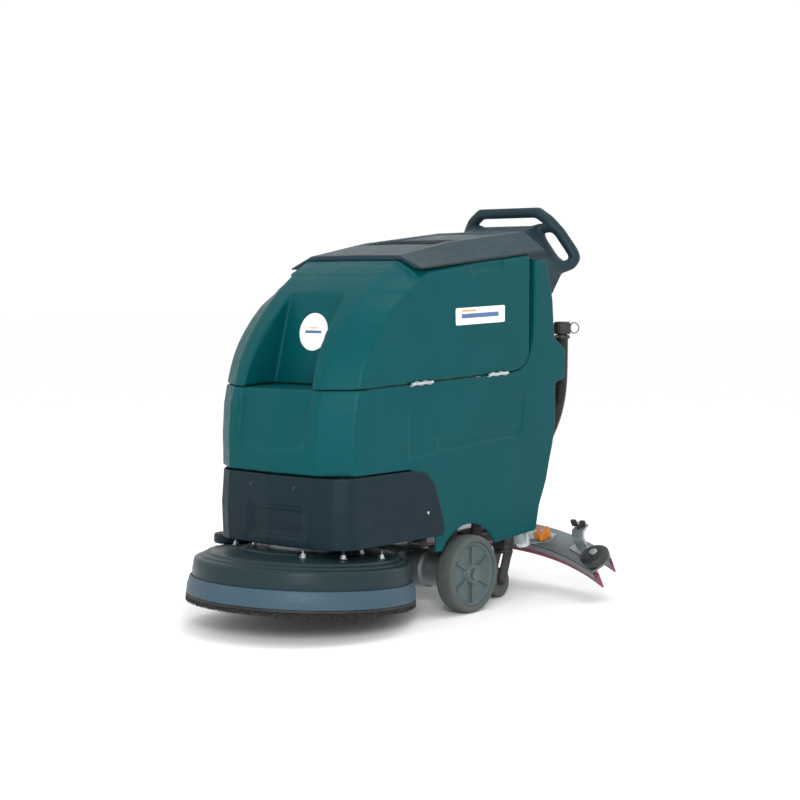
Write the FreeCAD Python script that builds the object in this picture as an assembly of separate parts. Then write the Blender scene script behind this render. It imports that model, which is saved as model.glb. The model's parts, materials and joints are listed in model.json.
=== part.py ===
import FreeCAD, Part
import os
import math
from FreeCAD import Vector as V

# Walk-behind wet/dry floor scrubber, one disc brush, curved squeegee.
# Millimetres.  +Z up, the machine faces -Y, +X is the machine's left side.
# The model is written with Y = 0 at the drive-wheel axle and is moved by
# SHIFT_Y at the end, so that the origin is the bottom centre of the whole.
# Transport pose: brush deck and squeegee lifted off the floor.

os.makedirs("parts", exist_ok=True)

# ---------------------------------------------------------------- dimensions
SHIFT_Y = 73.63           # axle line to box centre
HALF_W = 225.0           # half width of the tanks
WALL = 6.0               # moulded wall
SPLIT_Z0, SPLIT_Y0, SPLIT_K = 588.0, -470.0, 0.034   # parting line of the tanks
SEAM_Y = 283.0           # rear face of the recovery tank
WHEEL_R, WHEEL_X0, WHEEL_X1 = 100.0, 192.0, 245.0
ARCH_R = 128.0
CASTER_X, CASTER_Y, CASTER_R, CASTER_TRAIL = 150.0, 245.0, 40.0, 28.0
DECK_Y, DECK_Z, DECK_PITCH = -388.0, 54.0, -3.5       # raised brush deck
RING_R = 286.0
ARM_Y, ARM_Z = -90.0, 205.0      # lift arm pivot on the chassis
DPIV_Y, DPIV_Z = -330.0, 212.0   # lift arm pivot on the deck
SQ_Y, SQ_Z, SQ_UP = 250.0, 150.0, 32.1   # squeegee lift pivot, lift angle
SQ_R, SQ_CY = 823.0, -443.0      # blade line radius and centre, lowered
SQ_HALF = 29.4                   # half angle of the blade
FIT = 0.05                       # radial running clearance


def wire(pts):
    return Part.makePolygon([V(*p) for p in pts] + [V(*pts[0])])


def prism_x(yz, x0, x1):
    return Part.Face(wire([(x0, y, z) for y, z in yz])).extrude(V(x1 - x0, 0, 0))


def prism_y(xz, y0, y1):
    return Part.Face(wire([(x, y0, z) for x, z in xz])).extrude(V(0, y1 - y0, 0))


def prism_z(xy, z0, z1):
    return Part.Face(wire([(x, y, z0) for x, y in xy])).extrude(V(0, 0, z1 - z0))


def box(x0, x1, y0, y1, z0, z1):
    return Part.makeBox(x1 - x0, y1 - y0, z1 - z0, V(x0, y0, z0))


def cyl(p, d, r, h):
    return Part.makeCylinder(r, h, V(*p), V(*d))


def tube(p, d, ro, ri, h):
    return cyl(p, d, ro, h).cut(cyl(p, d, ri, h))


def cyl_x(x0, x1, y, z, r):
    return cyl((x0, y, z), (1, 0, 0), r, x1 - x0)


def rod(a, b, r):
    a, b = V(*a), V(*b)
    return Part.makeCylinder(r, (b - a).Length, a, b - a)


def bar(pts, r):
    s = rod(pts[0], pts[1], r)
    for a, b in zip(pts[1:-1], pts[2:]):
        s = s.fuse(Part.makeSphere(r, V(*a))).fuse(rod(a, b, r))
    return s


def revolve(rz, cx=0.0, cy=0.0):
    f = Part.Face(wire([(cx + r, cy, z) for r, z in rz]))
    return f.revolve(V(cx, cy, 0), V(0, 0, 1), 360)


def revolve_x(rx, y, z):
    f = Part.Face(wire([(x, y, z + r) for r, x in rx]))
    return f.revolve(V(0, y, z), V(1, 0, 0), 360)


def loft(sections):
    return Part.makeLoft([wire(s) for s in sections], True, True)


def fuse(*a):
    s = a[0]
    for b in a[1:]:
        s = s.fuse(b)
    return s


def cut(s, *a):
    for b in a:
        s = s.cut(b)
    return s


def comp(*a):
    out = []
    for b in a:
        out += b.Solids
    return Part.makeCompound(out)


def lerp(table, z):
    if z <= table[0][0]:
        (a, p), (b, q) = table[0], table[1]
    elif z >= table[-1][0]:
        (a, p), (b, q) = table[-2], table[-1]
    else:
        for (a, p), (b, q) in zip(table[:-1], table[1:]):
            if a <= z <= b:
                break
    return p + (q - p) * (z - a) / (b - a)


NODES = {}


def put(name, shape, place=None):
    s = shape.copy()
    if place is not None:
        s = s.transformGeometry(place) if False else s.transformed(place)
    s = s.transformed(FreeCAD.Placement(V(0, SHIFT_Y, 0), FreeCAD.Rotation()).toMatrix())
    NODES[name] = s


def turn_x(deg, y, z):
    return FreeCAD.Placement(V(0, 0, 0), FreeCAD.Rotation(V(1, 0, 0), deg), V(0, y, z)).toMatrix()


DECK = FreeCAD.Placement(V(0, DECK_Y, DECK_Z), FreeCAD.Rotation(V(1, 0, 0), DECK_PITCH)).toMatrix()
SQ = turn_x(SQ_UP, SQ_Y, SQ_Z)


def split_z(y):
    return SPLIT_Z0 + SPLIT_K * (y - SPLIT_Y0)


# parting line seen from the side: along the split, round a corner, up the rear
SEAM = [(-700, split_z(-700)), (186, split_z(186)), (216, 614.5), (243, 629), (263, 655), (276, 691), (282, 735), (SEAM_Y, 1010)]


def offset(pts, d):
    # moves a (y, z) line towards the upper front by d
    out = []
    for i, (y, z) in enumerate(pts):
        ns = []
        for a, b in ((i - 1, i), (i, i + 1)):
            if a < 0 or b >= len(pts):
                continue
            ty, tz = pts[b][0] - pts[a][0], pts[b][1] - pts[a][1]
            n = math.hypot(ty, tz)
            ns.append((-tz / n, ty / n))
        ny, nz = sum(n[0] for n in ns), sum(n[1] for n in ns)
        m = math.hypot(ny, nz)
        k = d / max(0.2, (ny * ns[0][0] + nz * ns[0][1]) / m)
        out.append((y + ny / m * k, z + nz / m * k))
    return out


# ---------------------------------------------------------------- body form
# y of the front face (ridge at x = 147) and of the outer ridge, by height
FRONT = [(212, -494), (300, -498), (386, -490), (470, -490), (540, -484), (590, -470),
         (640, -456), (684, -434), (735, -398), (786, -354), (830, -308), (867, -262),
         (885, -228), (905, -183), (990, 20)]
OUTER = [(212, -436), (300, -440), (386, -436), (470, -437), (540, -432), (590, -421),
         (640, -407), (684, -388), (735, -350), (786, -300), (815, -264), (849, -196),
         (870, -150), (990, 60)]
REAR = [(165, 314), (187, 319), (244, 332), (311, 364), (370, 381), (406, 393), (471, 406),
        (574, 405), (584, 450), (600, 452), (662, 452), (697, 400), (739, 395), (798, 390), (930, 352)]
RIDGE_X = 147.0
BOW = 8.0


def plan(z, off=0.0, w=HALF_W, rear=None):
    f, o = lerp(FRONT, z) + off, lerp(OUTER, z) + off * 1.1
    w = w - off
    rx = RIDGE_X - off * 0.5
    r = (lerp(REAR, z) - off) if rear is None else rear
    c = 26.0
    return [(0, f - BOW, z), (rx, f, z), (w, o, z), (w, r - c, z), (w - c, r, z),
            (-w + c, r, z), (-w, r - c, z), (-w, o, z), (-rx, f, z)]


LOW_Z = [165, 187, 244, 311, 370, 406, 471, 540, 574, 584, 600, 620]
COL_Z = [600, 662, 697, 739, 798, 905]
REC_Z = [585, 640, 684, 735, 786, 830, 867, 905, 990]

# lid: edge height at the sides and ridge height, by y
LID_Y0, LID_Y1 = -190.0, 335.0
LID_EDGE = [(-600, 840.5), (-190, 881), (335, 932)]
LID_RIDGE = [(-600, 838), (-190, 912), (20, 950), (335, 984)]
LID_X, LID_RX = 222.0, 150.0

# ---------------------------------------------------------------- lower tank
low = loft([plan(z) for z in LOW_Z])
low_in = loft([plan(z, WALL) for z in LOW_Z])
col = loft([plan(z) for z in COL_Z]).common(box(-300, 300, 180, 600, 600, 905))
seam_in = offset(SEAM, -7)
col_in = loft([plan(z, WALL) for z in COL_Z]).common(prism_x([(238, 604)] + seam_in[3:7] + [(SEAM_Y + 7, 897), (600, 897), (600, 604)], -300, 300))
above = prism_x(SEAM + [(-700, 1010)], -300, 300)
front_low = prism_x([(-700, 386), (-235, 386), (-190, 366), (-165, 330), (-150, 290), (-135, 225), (-135, 100), (-700, 100)], -300, 300)
bottom = prism_x([(-300, 172), (116, 166), (258, 177), (600, 203), (600, 100), (-300, 100)], -300, 300)
arches = fuse(cyl_x(186, 260, 0, 100, ARCH_R), cyl_x(-260, -186, 0, 100, ARCH_R))
front_void = low_in.common(prism_x([(-600, 393), (-134, 393), (-134, split_z(-134) - 8), (-600, split_z(-600) - 8)], -300, 300))
bay_void = low_in.common(box(-300, 300, -126, 600, 242, 600))
under = low_in.common(box(-218, 218, -200, 600, 100, 236))
lower_tank = cut(low.fuse(col), above, front_low, bottom, arches, front_void, bay_void, under, col_in)
lower_tank = cut(lower_tank, box(-114, -74, 300, 380, 100, 236))
# battery bay opens upwards, the column stays closed above
lower_tank = lower_tank.cut(low_in.common(box(-300, 300, -126, 186, 560, 640)))
lower_tank = lower_tank.fuse(low_in.common(box(-300, 300, 186, 600, 594, 604)))
# lugs for the squeegee lift lever
for q in (1, -1):
    lower_tank = lower_tank.fuse(box(q * 19 - 4, q * 19 + 4, 390, 426, 728, 756).cut(cyl_x(-40, 40, 414, 742, 5.0 + FIT)))
# drain spigot on the rear wall
lower_tank = lower_tank.fuse(tube((150, 380, 372), (0, 1, 0), 15, 11, 22))
# ---------------------------------------------------------------- front cover
BZ = [212, 300, 384]


def bplan(z, off):
    f, o = lerp(FRONT, z) - 8 + off, lerp(OUTER, z) - 6 + off
    w = 232.0 - 0.02 * (z - 212) - off
    return [(0, f - BOW, z), (RIDGE_X, f, z), (RIDGE_X + 50, f + 18, z), (w - 8, o - 16, z), (w, o, z), (w, -60, z),
            (-w, -60, z), (-w, o, z), (-w + 8, o - 16, z), (-RIDGE_X - 50, f + 18, z), (-RIDGE_X, f, z)]


cover = loft([bplan(z, 0) for z in BZ]).cut(loft([[(p[0], p[1], p[2] - 1 if p[2] == 212 else p[2] + 1 if p[2] == 384 else p[2]) for p in bplan(z, 5.0)] for z in BZ]))
cover_side = prism_x([(-700, 212), (-113, 212), (-105, 227), (-110, 255), (-126, 299), (-141, 343), (-171, 374), (-225, 384), (-700, 384)], -300, 300)
cover = cover.common(cover_side)
# ---------------------------------------------------------------- transaxle and drive wheels
trans = revolve_x([(0, -186), (34, -186), (46, -172), (46, -120), (42, -116), (42, -100), (50, -96), (50, 96),
                   (42, 100), (42, 116), (46, 120), (46, 172), (34, 186), (0, 186)], 0, 100)
trans = trans.fuse(box(-42, 42, -60, 58, 62, 145))
trans = trans.fuse(cyl((0, 52, 100), (0, 1, 0), 40, 70))
trans = trans.cut(cyl_x(-190, -120, 0, 100, 12.0 + FIT)).cut(cyl_x(120, 190, 0, 100, 12.0 + FIT))
put("transaxle_housing", trans)

# ---------------------------------------------------------------- chassis
plate = box(-205, 205, -128, 268, 228, 235)
plate = cut(plate, box(186, 260, -130, 130, 220, 240), box(-260, -186, -130, 130, 220, 240))
rails = [box(s * 175 - 15, s * 175 + 15, -440, -125, 240, 275) for s in (1, -1)]
up = [box(s * 175 - 12, s * 175 + 12, -440, -416, 270, 385) for s in (1, -1)]
up += [box(s * 175 - 12, s * 175 + 12, -160, -137, 225, 300) for s in (1, -1)]
cross = box(-187, 187, -440, -428, 345, 385)
web = box(-190, 190, -134, -126, 228, 300)
lugs = [box(s * 84 - 4, s * 84 + 4, -108, -72, 188, 229) for s in (1, -1)]
lugs = [cut(l, cyl_x(-200, 200, ARM_Y, ARM_Z, 8.0 + FIT)) for l in lugs]
posts = [box(s * CASTER_X - 20, s * CASTER_X + 20, CASTER_Y - 20, CASTER_Y + 20, 128, 229) for s in (1, -1)]
posts = [cut(p, cyl((s * CASTER_X, CASTER_Y, 120), (0, 0, 1), 8.0 + FIT, 60)) for p, s in zip(posts, (1, -1))]
sq_lugs = [cut(box(s * 56 - 4, s * 56 + 4, SQ_Y - 20, 268, 134, 229), cyl_x(-200, 200, SQ_Y, SQ_Z, 8.0 + FIT)) for s in (1, -1)]
ped_lugs = [cut(box(x - 3, x + 3, 238, 268, 188, 229), cyl_x(-200, 0, 253, 200, 6.0 + FIT)) for x in (-106, -80)]
trans_plates = [box(s * 150 - 4, s * 150 + 4, -40, 40, 142, 229) for s in (1, -1)]
chassis = fuse(plate, web, cross, *(rails + up + lugs + posts + sq_lugs + ped_lugs + trans_plates))
chassis = chassis.cut(trans)
put("chassis_frame", chassis)
lower_tank = lower_tank.cut(chassis)
put("lower_tank", lower_tank)
put("front_cover", cover.cut(lower_tank).cut(chassis))

# batteries, two blocks with terminal posts
bats = []
for s in (1, -1):
    b = box(min(s * 6, s * 176), max(s * 6, s * 176), -25, 285, 243, 455)
    for yy in (10, 250):
        b = b.fuse(cyl((s * 60, yy, 455), (0, 0, 1), 9, 14))
    bats.append(b)
put("batteries", comp(*bats))

# ---------------------------------------------------------------- drive wheels and casters
for s, n in ((1, "left"), (-1, "right")):
    def sx(a, b):
        return (min(s * a, s * b), max(s * a, s * b))
    def rev(rx):
        return revolve_x([(r, s * x) for r, x in rx], 0, 100)
    tyre = rev([(81, 194), (92, 192), (98, 196), (100, 204), (100, 233), (98, 241), (93, 245), (82, 243)])
    hub = rev([(12, 200), (81, 200), (81, 240), (76, 238), (70, 232), (30, 232), (24, 244), (12, 244)])
    ribs = []
    for k in range(6):
        rb = box(sx(232, 238)[0], sx(232, 238)[1], -4, 4, 20, 73)
        rb.rotate(V(0, 0, 0), V(1, 0, 0), 60 * k)
        rb.translate(V(0, 0, 100))
        ribs.append(rb)
    hub = fuse(hub, *ribs)
    axle = fuse(cyl_x(*sx(122, 244), 0, 100, 12.0), cyl_x(*sx(187, 199.5), 0, 100, 20.0), cyl_x(*sx(244, 249), 0, 100, 15.0))
    put(n + "_tyre", tyre)
    put(n + "_wheel_hub", hub)
    put(n + "_axle", axle)
    # caster, trailing towards the front
    cx, cy = s * CASTER_X, CASTER_Y
    wy = cy - CASTER_TRAIL
    fork = cyl((cx, cy, 118), (0, 0, 1), 26, 9.5).fuse(cyl((cx, cy, 120), (0, 0, 1), 8.0, 50))
    for q in (1, -1):
        leg = prism_x([(cy - 20, 122), (cy + 18, 122), (cy + 6, 96), (wy + 12, 34), (wy - 12, 34), (wy - 14, 60)],
                      cx + q * 18 - 2.5, cx + q * 18 + 2.5)
        fork = fork.fuse(leg)
    fork = fork.fuse(box(cx - 20, cx + 20, cy - 20, cy + 18, 118, 123))
    fork = fork.fuse(cyl_x(cx - 24, cx + 24, wy, CASTER_R, 6.0))
    wheel = revolve_x([(6.0 + FIT, cx - 13), (26, cx - 13), (34, cx - 15), (39, cx - 12), (40, cx - 7), (40, cx + 7),
                       (39, cx + 12), (34, cx + 15), (26, cx + 13), (6.0 + FIT, cx + 13)], wy, CASTER_R)
    put(n + "_caster_fork", fork)
    put(n + "_caster_wheel", wheel)

# ---------------------------------------------------------------- brush deck (level frame, z = 0 at the bristle tips)
skirt_brush = revolve([(266, 4), (286, 0), (286, 14), (284, 20), (268, 20)])
put("skirt_brush", skirt_brush, DECK)
skirt = revolve([(270, 22), (284, 20.5), (283, 40), (277, 63), (272, 64), (272, 40)])
put("splash_skirt", skirt, DECK)
deck = revolve([(271.6, 44), (271.0, 80), (268, 104), (264, 109), (254, 111), (250, 116), (240, 118), (236, 124), (222, 126),
                (150, 131), (148, 135), (92, 136), (62, 136),
                (62, 130), (146, 126), (216, 120), (246, 106), (262, 98), (265, 60), (265, 44)])
piv = []
for s in (1, -1):
    piv.append(box(s * 100 - 4, s * 100 + 4, 38, 82, 122, 182))
D2 = FreeCAD.Matrix(DECK)
D2i = D2.inverse()
loc = D2i.multVec(V(0, DPIV_Y, DPIV_Z))
deck = fuse(deck, *piv)
deck = deck.cut(cyl_x(-200, 200, loc.y, loc.z, 6.0 + FIT))
pocket = cyl((-243, -4, 118.5), (0, 0, 1), 54, 30)
shelf = cyl((-243, -4, 112.5), (0, 0, 1), 54, 6).common(cyl((0, 0, 100), (0, 0, 1), 262, 60))
deck = deck.cut(pocket).fuse(shelf).fuse(cyl((-243, -4, 112.5), (0, 0, 1), 20, 10))
put("deck_cover", deck, DECK)
motor = fuse(cyl((0, 0, 136), (0, 0, 1), 88, 10), cyl((0, 0, 146), (0, 0, 1), 66, 24), cyl((0, 0, 170), (0, 0, 1), 60, 110), cyl((0, 0, 100), (0, 0, 1), 56, 36))
motor = motor.cut(cyl((0, 0, 99), (0, 0, 1), 12.0 + FIT, 40))
motor = motor.cut(box(-110, 110, 60, 110, 130, 300))
put("brush_motor", motor, DECK)
studs = []
for x, y, r0 in [(182, -53, 131), (133, 67, 132), (205, 60, 128), (-112, -58, 134), (-182, -53, 129), (-133, 67, 132), (-205, 60, 128), (112, -118, 131)]:
    studs.append(cyl((x, y, r0 - 1.5), (0, 0, 1), 9, 3.5).fuse(cyl((x, y, r0 + 2), (0, 0, 1), 6.5, 8)).fuse(cyl((x, y, r0 + 10), (0, 0, 1), 3.5, 9)))
studs.append(cyl((-243, -4, 120), (0, 0, 1), 8, 35).fuse(cyl((-243, -4, 151.5), (0, 0, 1), 13, 6)))
put("deck_studs", comp(*studs), DECK)
d_n = NODES["deck_cover"]
for q in NODES["deck_studs"].Solids:
    d_n = d_n.cut(q)
NODES["deck_cover"] = d_n
roller = revolve([(8.0 + FIT, 123), (40, 123), (48, 125), (50, 129), (50, 144), (48, 148), (40, 150), (8.0 + FIT, 150)], -243, -4)
put("deck_roller", roller, DECK)
disc = fuse(revolve([(0, 36), (242, 36), (242, 44), (90, 48), (40, 54), (40, 90), (0, 90)]), cyl((0, 0, 80), (0, 0, 1), 12.0, 54))
put("brush_disc", disc, DECK)
tufts = [revolve([(a, 1), (b, 1), (b - 2, 36), (a + 2, 36)]) for a, b in ((108, 130), (148, 170), (188, 210), (226, 246))]
put("brush_bristles", comp(*tufts), DECK)

# lift arm: two straps, a cross tube and the deck pin
dy, dz = DPIV_Y - ARM_Y, DPIV_Z - ARM_Z
arms = []
for s in (1, -1):
    st = fuse(prism_x([(ARM_Y, ARM_Z + 14), (ARM_Y, ARM_Z - 14), (DPIV_Y, DPIV_Z - 12), (DPIV_Y, DPIV_Z + 12)], s * 92 - 2.5, s * 92 + 2.5),
              cyl_x(s * 92 - 2.5, s * 92 + 2.5, ARM_Y, ARM_Z, 14), cyl_x(s * 92 - 2.5, s * 92 + 2.5, DPIV_Y, DPIV_Z, 12))
    arms.append(st)
    arms.append(cyl_x(min(s * 89, s * 106), max(s * 89, s * 106), DPIV_Y, DPIV_Z, 6.0))
deck_arm = fuse(arms[0], *arms[1:])
deck_arm = deck_arm.fuse(cyl_x(-95, 95, ARM_Y, ARM_Z, 8.0))
put("deck_lift_arm", deck_arm)

# foot pedal that lifts the deck
ped = fuse(prism_x([(247, 190), (262, 189), (390, 186), (430, 188), (430, 196), (390, 197), (262, 211), (247, 209)], -97, -89),
           box(-123, -63, 386, 432, 188, 197), cyl_x(-109.5, -76.5, 253, 200, 6.0))
put("deck_pedal", ped)

# ---------------------------------------------------------------- recovery tank
rec = loft([plan(z, rear=SEAM_Y) for z in REC_Z])
rec_in = loft([plan(z, WALL, rear=SEAM_Y - WALL) for z in REC_Z])


def lid_section(y, dx, dr, de):
    zr, ze = lerp(LID_RIDGE, y) + dr, lerp(LID_EDGE, y) + de
    return [(-LID_X - dx, y, ze), (-LID_RX - dx * 0.3, y, zr), (LID_RX + dx * 0.3, y, zr), (LID_X + dx, y, ze),
            (LID_X + dx, y, 400), (-LID_X - dx, y, 400)]


below = loft([lid_section(y, 30, -16, -14 - 30 * 0.55) for y in (-600, -190, 20, 340)])
below_in = loft([lid_section(y, 30, -22, -20 - 30 * 0.55) for y in (-600, -190, 20, 340)])
floor_cut = prism_x(offset(SEAM, 1.5) + [(500, 1010), (500, 300), (-700, 300)], -300, 300)
floor_in = prism_x(offset(SEAM, 7.5) + [(500, 1010), (500, 300), (-700, 300)], -300, 300)
rec_out = rec.common(below).cut(floor_cut)
rec_void = rec_in.common(below_in).cut(floor_in)
# hollow in the front face: near-vertical back, side walls closing in towards the top


def hollow(t):
    sides = prism_y([(-118 - t, 560), (118 + t, 560), (90 + t, 832), (-90 - t, 832)], -700, -290)
    return sides.common(prism_x([(-700, 560), (-365 + t, 560), (-322 + t, 832), (-700, 832)], -300, 300))


rec_out = rec_out.cut(hollow(0.0))
rec_void = rec_void.cut(hollow(WALL))
hatch = box(-165, 165, -150, 245, 820, 1000)
recovery = cut(rec_out, rec_void, hatch)
put("recovery_tank", recovery)
cage = revolve([(34, 772), (38, 772), (38, 900), (50, 900), (50, 904), (34, 904)], -115, 205).fuse(cyl((-115, 205, 768), (0, 0, 1), 38, 4))
cage = cage.fuse(box(-218.8, -108, 198, 212, 888, 893)).fuse(cyl((-115, 205, 800), (0, 0, 1), 24, 50)).fuse(cyl((-115, 205, 770), (0, 0, 1), 3, 32))
put("float_cage", cage)

# lid: hipped shell, side flaps slope down to the edge
lid = loft([[(-LID_X, y, lerp(LID_EDGE, y)), (-LID_RX, y, lerp(LID_RIDGE, y)), (0, y, lerp(LID_RIDGE, y) + 2), (LID_RX, y, lerp(LID_RIDGE, y)),
             (LID_X, y, lerp(LID_EDGE, y)), (LID_X - 1, y, lerp(LID_EDGE, y) - 3), (-LID_X + 1, y, lerp(LID_EDGE, y) - 3)] for y in (LID_Y0, 20, LID_Y1)])
lid_in = loft([[(-LID_X + 7, y, lerp(LID_EDGE, y) - 4), (-LID_X + 8, y, lerp(LID_EDGE, y)), (-LID_RX + 3, y, lerp(LID_RIDGE, y) - 6), (LID_RX - 3, y, lerp(LID_RIDGE, y) - 6),
                (LID_X - 8, y, lerp(LID_EDGE, y)), (LID_X - 7, y, lerp(LID_EDGE, y) - 4)] for y in (LID_Y0 + 6, 20, LID_Y1 - 6)])
lid = lid.cut(lid_in)
lid = lid.cut(loft([lid_section(y, 30, -14.4, -12.4 - 30 * 0.55) for y in (-600, -190, 20, 284.6)]))
# hinge knuckles of the lid on the machine's right
LH_Y0, LH_Y1 = -60.0, 220.0
LHX = -226.0


def lhz(y):
    return lerp(LID_EDGE, y) - 8.0


knk, rec_k = [], []
for a in (-40.0, 150.0):
    knk.append(rod((LHX, a, lhz(a)), (LHX, a + 40, lhz(a + 40)), 5.5).cut(rod((LHX, a - 2, lhz(a - 2)), (LHX, a + 50, lhz(a + 50)), 2.5 + FIT)))
    knk.append(prism_x([(a + 1, lhz(a) + 3), (a + 39, lhz(a + 40) + 3), (a + 39, lhz(a + 40) + 9), (a + 1, lhz(a) + 9)], -226, -217))
    for e in (a - 13, a + 41):
        k = rod((LHX, e, lhz(e)), (LHX, e + 12, lhz(e + 12)), 5.5)
        k = k.fuse(box(-231, -223, e, e + 12, lhz(e) - 30, lhz(e) - 2))
        rec_k.append(k)
    rec_k.append(rod((LHX, a - 8, lhz(a - 8)), (LHX, a + 48, lhz(a + 48)), 2.5))
lid = fuse(lid, *knk)
for a in (-40.0, 150.0):
    NODES["recovery_tank"] = NODES["recovery_tank"].cut(rod((LHX, a - 0.7 + SHIFT_Y, lhz(a - 0.7)), (LHX, a + 40.7 + SHIFT_Y, lhz(a + 40.7)), 7.0))
NODES["recovery_tank"] = fuse(NODES["recovery_tank"], *[k.transformed(FreeCAD.Placement(V(0, SHIFT_Y, 0), FreeCAD.Rotation()).toMatrix()) for k in rec_k])
put("tank_lid", lid)
band = fuse(box(-213, -203, -182, 276, 800, 1000), box(203, 213, -182, 276, 800, 1000), box(-213, 213, -182, -173, 800, 1000), box(-213, 213, 268, 276, 800, 1000))
below_g = loft([lid_section(y, 30, -15.8, -13.8 - 30 * 0.55) for y in (-600, -190, 20, 340)])
gask = band.common(lid_in).cut(below_g)
put("lid_gasket", gask)

# tank hinges on the left, along the parting line
HX = 230.0
ux = V(0, 1, SPLIT_K)
ux.normalize()


def hz(y):
    return split_z(y) + 0.75


low_l, up_l, pins = [], [], []
for y0 in (-222.0, 88.0):
    L = 68.0
    pins.append(rod((HX, y0, hz(y0)), (HX, y0 + L, hz(y0 + L)), 2.0))
    for k in range(5):
        a, b = y0 + 1 + k * (L - 2) / 5 + 0.3, y0 + 1 + (k + 1) * (L - 2) / 5 - 0.3
        kn = rod((HX, a, hz(a)), (HX, b, hz(b)), 4.0).cut(rod((HX, a - 2, hz(a - 2)), (HX, b + 2, hz(b + 2)), 2.0 + FIT))
        if k % 2 == 0:
            lf = prism_x([(a, hz(a) - 1), (b, hz(b) - 1), (b, hz(b) - 16), (a, hz(a) - 16)], HALF_W, HALF_W + 2).cut(rod((HX, a - 2, hz(a - 2)), (HX, b + 2, hz(b + 2)), 3.0))
            low_l.append(kn.fuse(lf))
        else:
            lf = prism_x([(a, hz(a) + 1), (b, hz(b) + 1), (b, hz(b) + 16), (a, hz(a) + 16)], HALF_W - 0.5, HALF_W + 2).cut(rod((HX, a - 2, hz(a - 2)), (HX, b + 2, hz(b + 2)), 3.0))
            up_l.append(kn.fuse(lf))
put("lower_hinge_leaves", comp(*low_l))
put("upper_hinge_leaves", comp(*up_l))
put("hinge_pins", comp(*pins))
r_n = NODES["recovery_tank"]
for q in NODES["upper_hinge_leaves"].Solids:
    r_n = r_n.cut(q)
NODES["recovery_tank"] = r_n

# vacuum motor in the closed rear column
vac = fuse(cyl((0, 342, 640), (0, 0, 1), 44, 60), cyl((0, 342, 700), (0, 0, 1), 34, 60), cyl((0, 342, 604), (0, 0, 1), 20, 37))
put("vacuum_motor", vac)

# ---------------------------------------------------------------- handle and controls
PANEL_Y, PANEL_Z, PANEL_T = 491.5, 951.5, 14.7
yz = [(339, 912), (343, 972), (452, 1003), (478, 1003), (505, 900), (457, 866), (400, 796), (392.5, 799), (357, 912)]
hb = prism_x(yz, -200, 200).common(prism_y([(-104, 1010), (104, 1010), (118, 962), (148, 914), (180, 894), (188, 870), (188, 790),
                                            (-188, 790), (-188, 870), (-180, 894), (-148, 914), (-118, 962)], 300, 600))
half = [(165, 462, 878), (190, 500, 896), (197, 509, 912), (193, 506, 928), (160, 488, 984), (134, 474, 1016), (97, 468, 1041)]
loop = bar(half + [(-x, y, z) for x, y, z in reversed(half)], 13.0)
webs = [bar([(s * 100, 468, 994), (s * 145, 480, 1000)], 12.0) for s in (1, -1)]
hb_in = prism_x([(346, 914), (349, 967), (454, 996), (462, 996), (462, 970), (481, 970), (498, 902), (453, 872), (404, 806), (398, 809), (363, 914)], -180, 180).common(
    prism_y([(-97, 1004), (97, 1004), (111, 960), (143, 909), (176, 888), (181, 868), (181, 796),
             (-181, 796), (-181, 868), (-176, 888), (-143, 909), (-111, 960)], 300, 600))
handle = fuse(hb, loop, *webs).cut(hb_in)
handle = cut(handle, box(-89, 89, 468, 520, 976, 1004.5))
P = turn_x(PANEL_T, PANEL_Y, PANEL_Z)


def local(shape):
    s = shape.copy()
    s.translate(V(0, PANEL_Y, PANEL_Z))
    return s.transformed(P)


BUT = [(-66, -22, 9.0), (-38, -22, 9.0)]
KEY = (66, -20)
KNOB = (14, -18)
pock = [local(cyl((x, -14, z), (0, 1, 0), r + 0.6, 40)) for x, z, r in BUT]
pock.append(local(cyl((KEY[0], -14, KEY[1]), (0, 1, 0), 9.0 + FIT, 40)))
pock.append(local(cyl((KNOB[0], -10, KNOB[1]), (0, 1, 0), 5.0 + FIT, 40)))
panel = local(box(-98, 98, 0, 4, -42, 20)).fuse(local(box(-80, -20, 4, 6, -6, 16)))
panel = cut(panel, *pock)
handle = cut(handle, *pock)
# trigger pin bores
handle = handle.cut(cyl_x(-93, 93, 482, 983, 3.0 + FIT))
handle = handle.cut(lower_tank)
put("handle_housing", handle)
put("control_panel", panel)
put("brush_button", local(cyl((BUT[0][0], -6, BUT[0][1]), (0, 1, 0), 9.0, 16)))
put("water_button", local(cyl((BUT[1][0], -6, BUT[1][1]), (0, 1, 0), 9.0, 16)))
put("key_switch", local(fuse(cyl((KEY[0], -12, KEY[1]), (0, 1, 0), 9.0, 19), box(KEY[0] - 1.5, KEY[0] + 1.5, 7, 28, KEY[1] - 10, KEY[1] + 10))))
put("speed_knob", local(fuse(cyl((KNOB[0], -8, KNOB[1]), (0, 1, 0), 5.0, 13), revolve_y := Part.makeCone(16, 13.5, 13, V(KNOB[0], 4.6, KNOB[1]), V(0, 1, 0)))))
trig = fuse(box(-86, 86, 478, 486, 978, 1002), cyl_x(-92, 92, 482, 983, 3.0))
put("drive_trigger", trig)

# ---------------------------------------------------------------- drain hose, held on the rear
CAPX, CAPY = 180.0, 473.0
HOSE_OD = 36.0
ROUTE = [(CAPX, CAPY, 690), (CAPX, CAPY, 612), (177, 472, 540), (170, 458, 474), (160, 430, 416), (152, 404, 372)]


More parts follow.
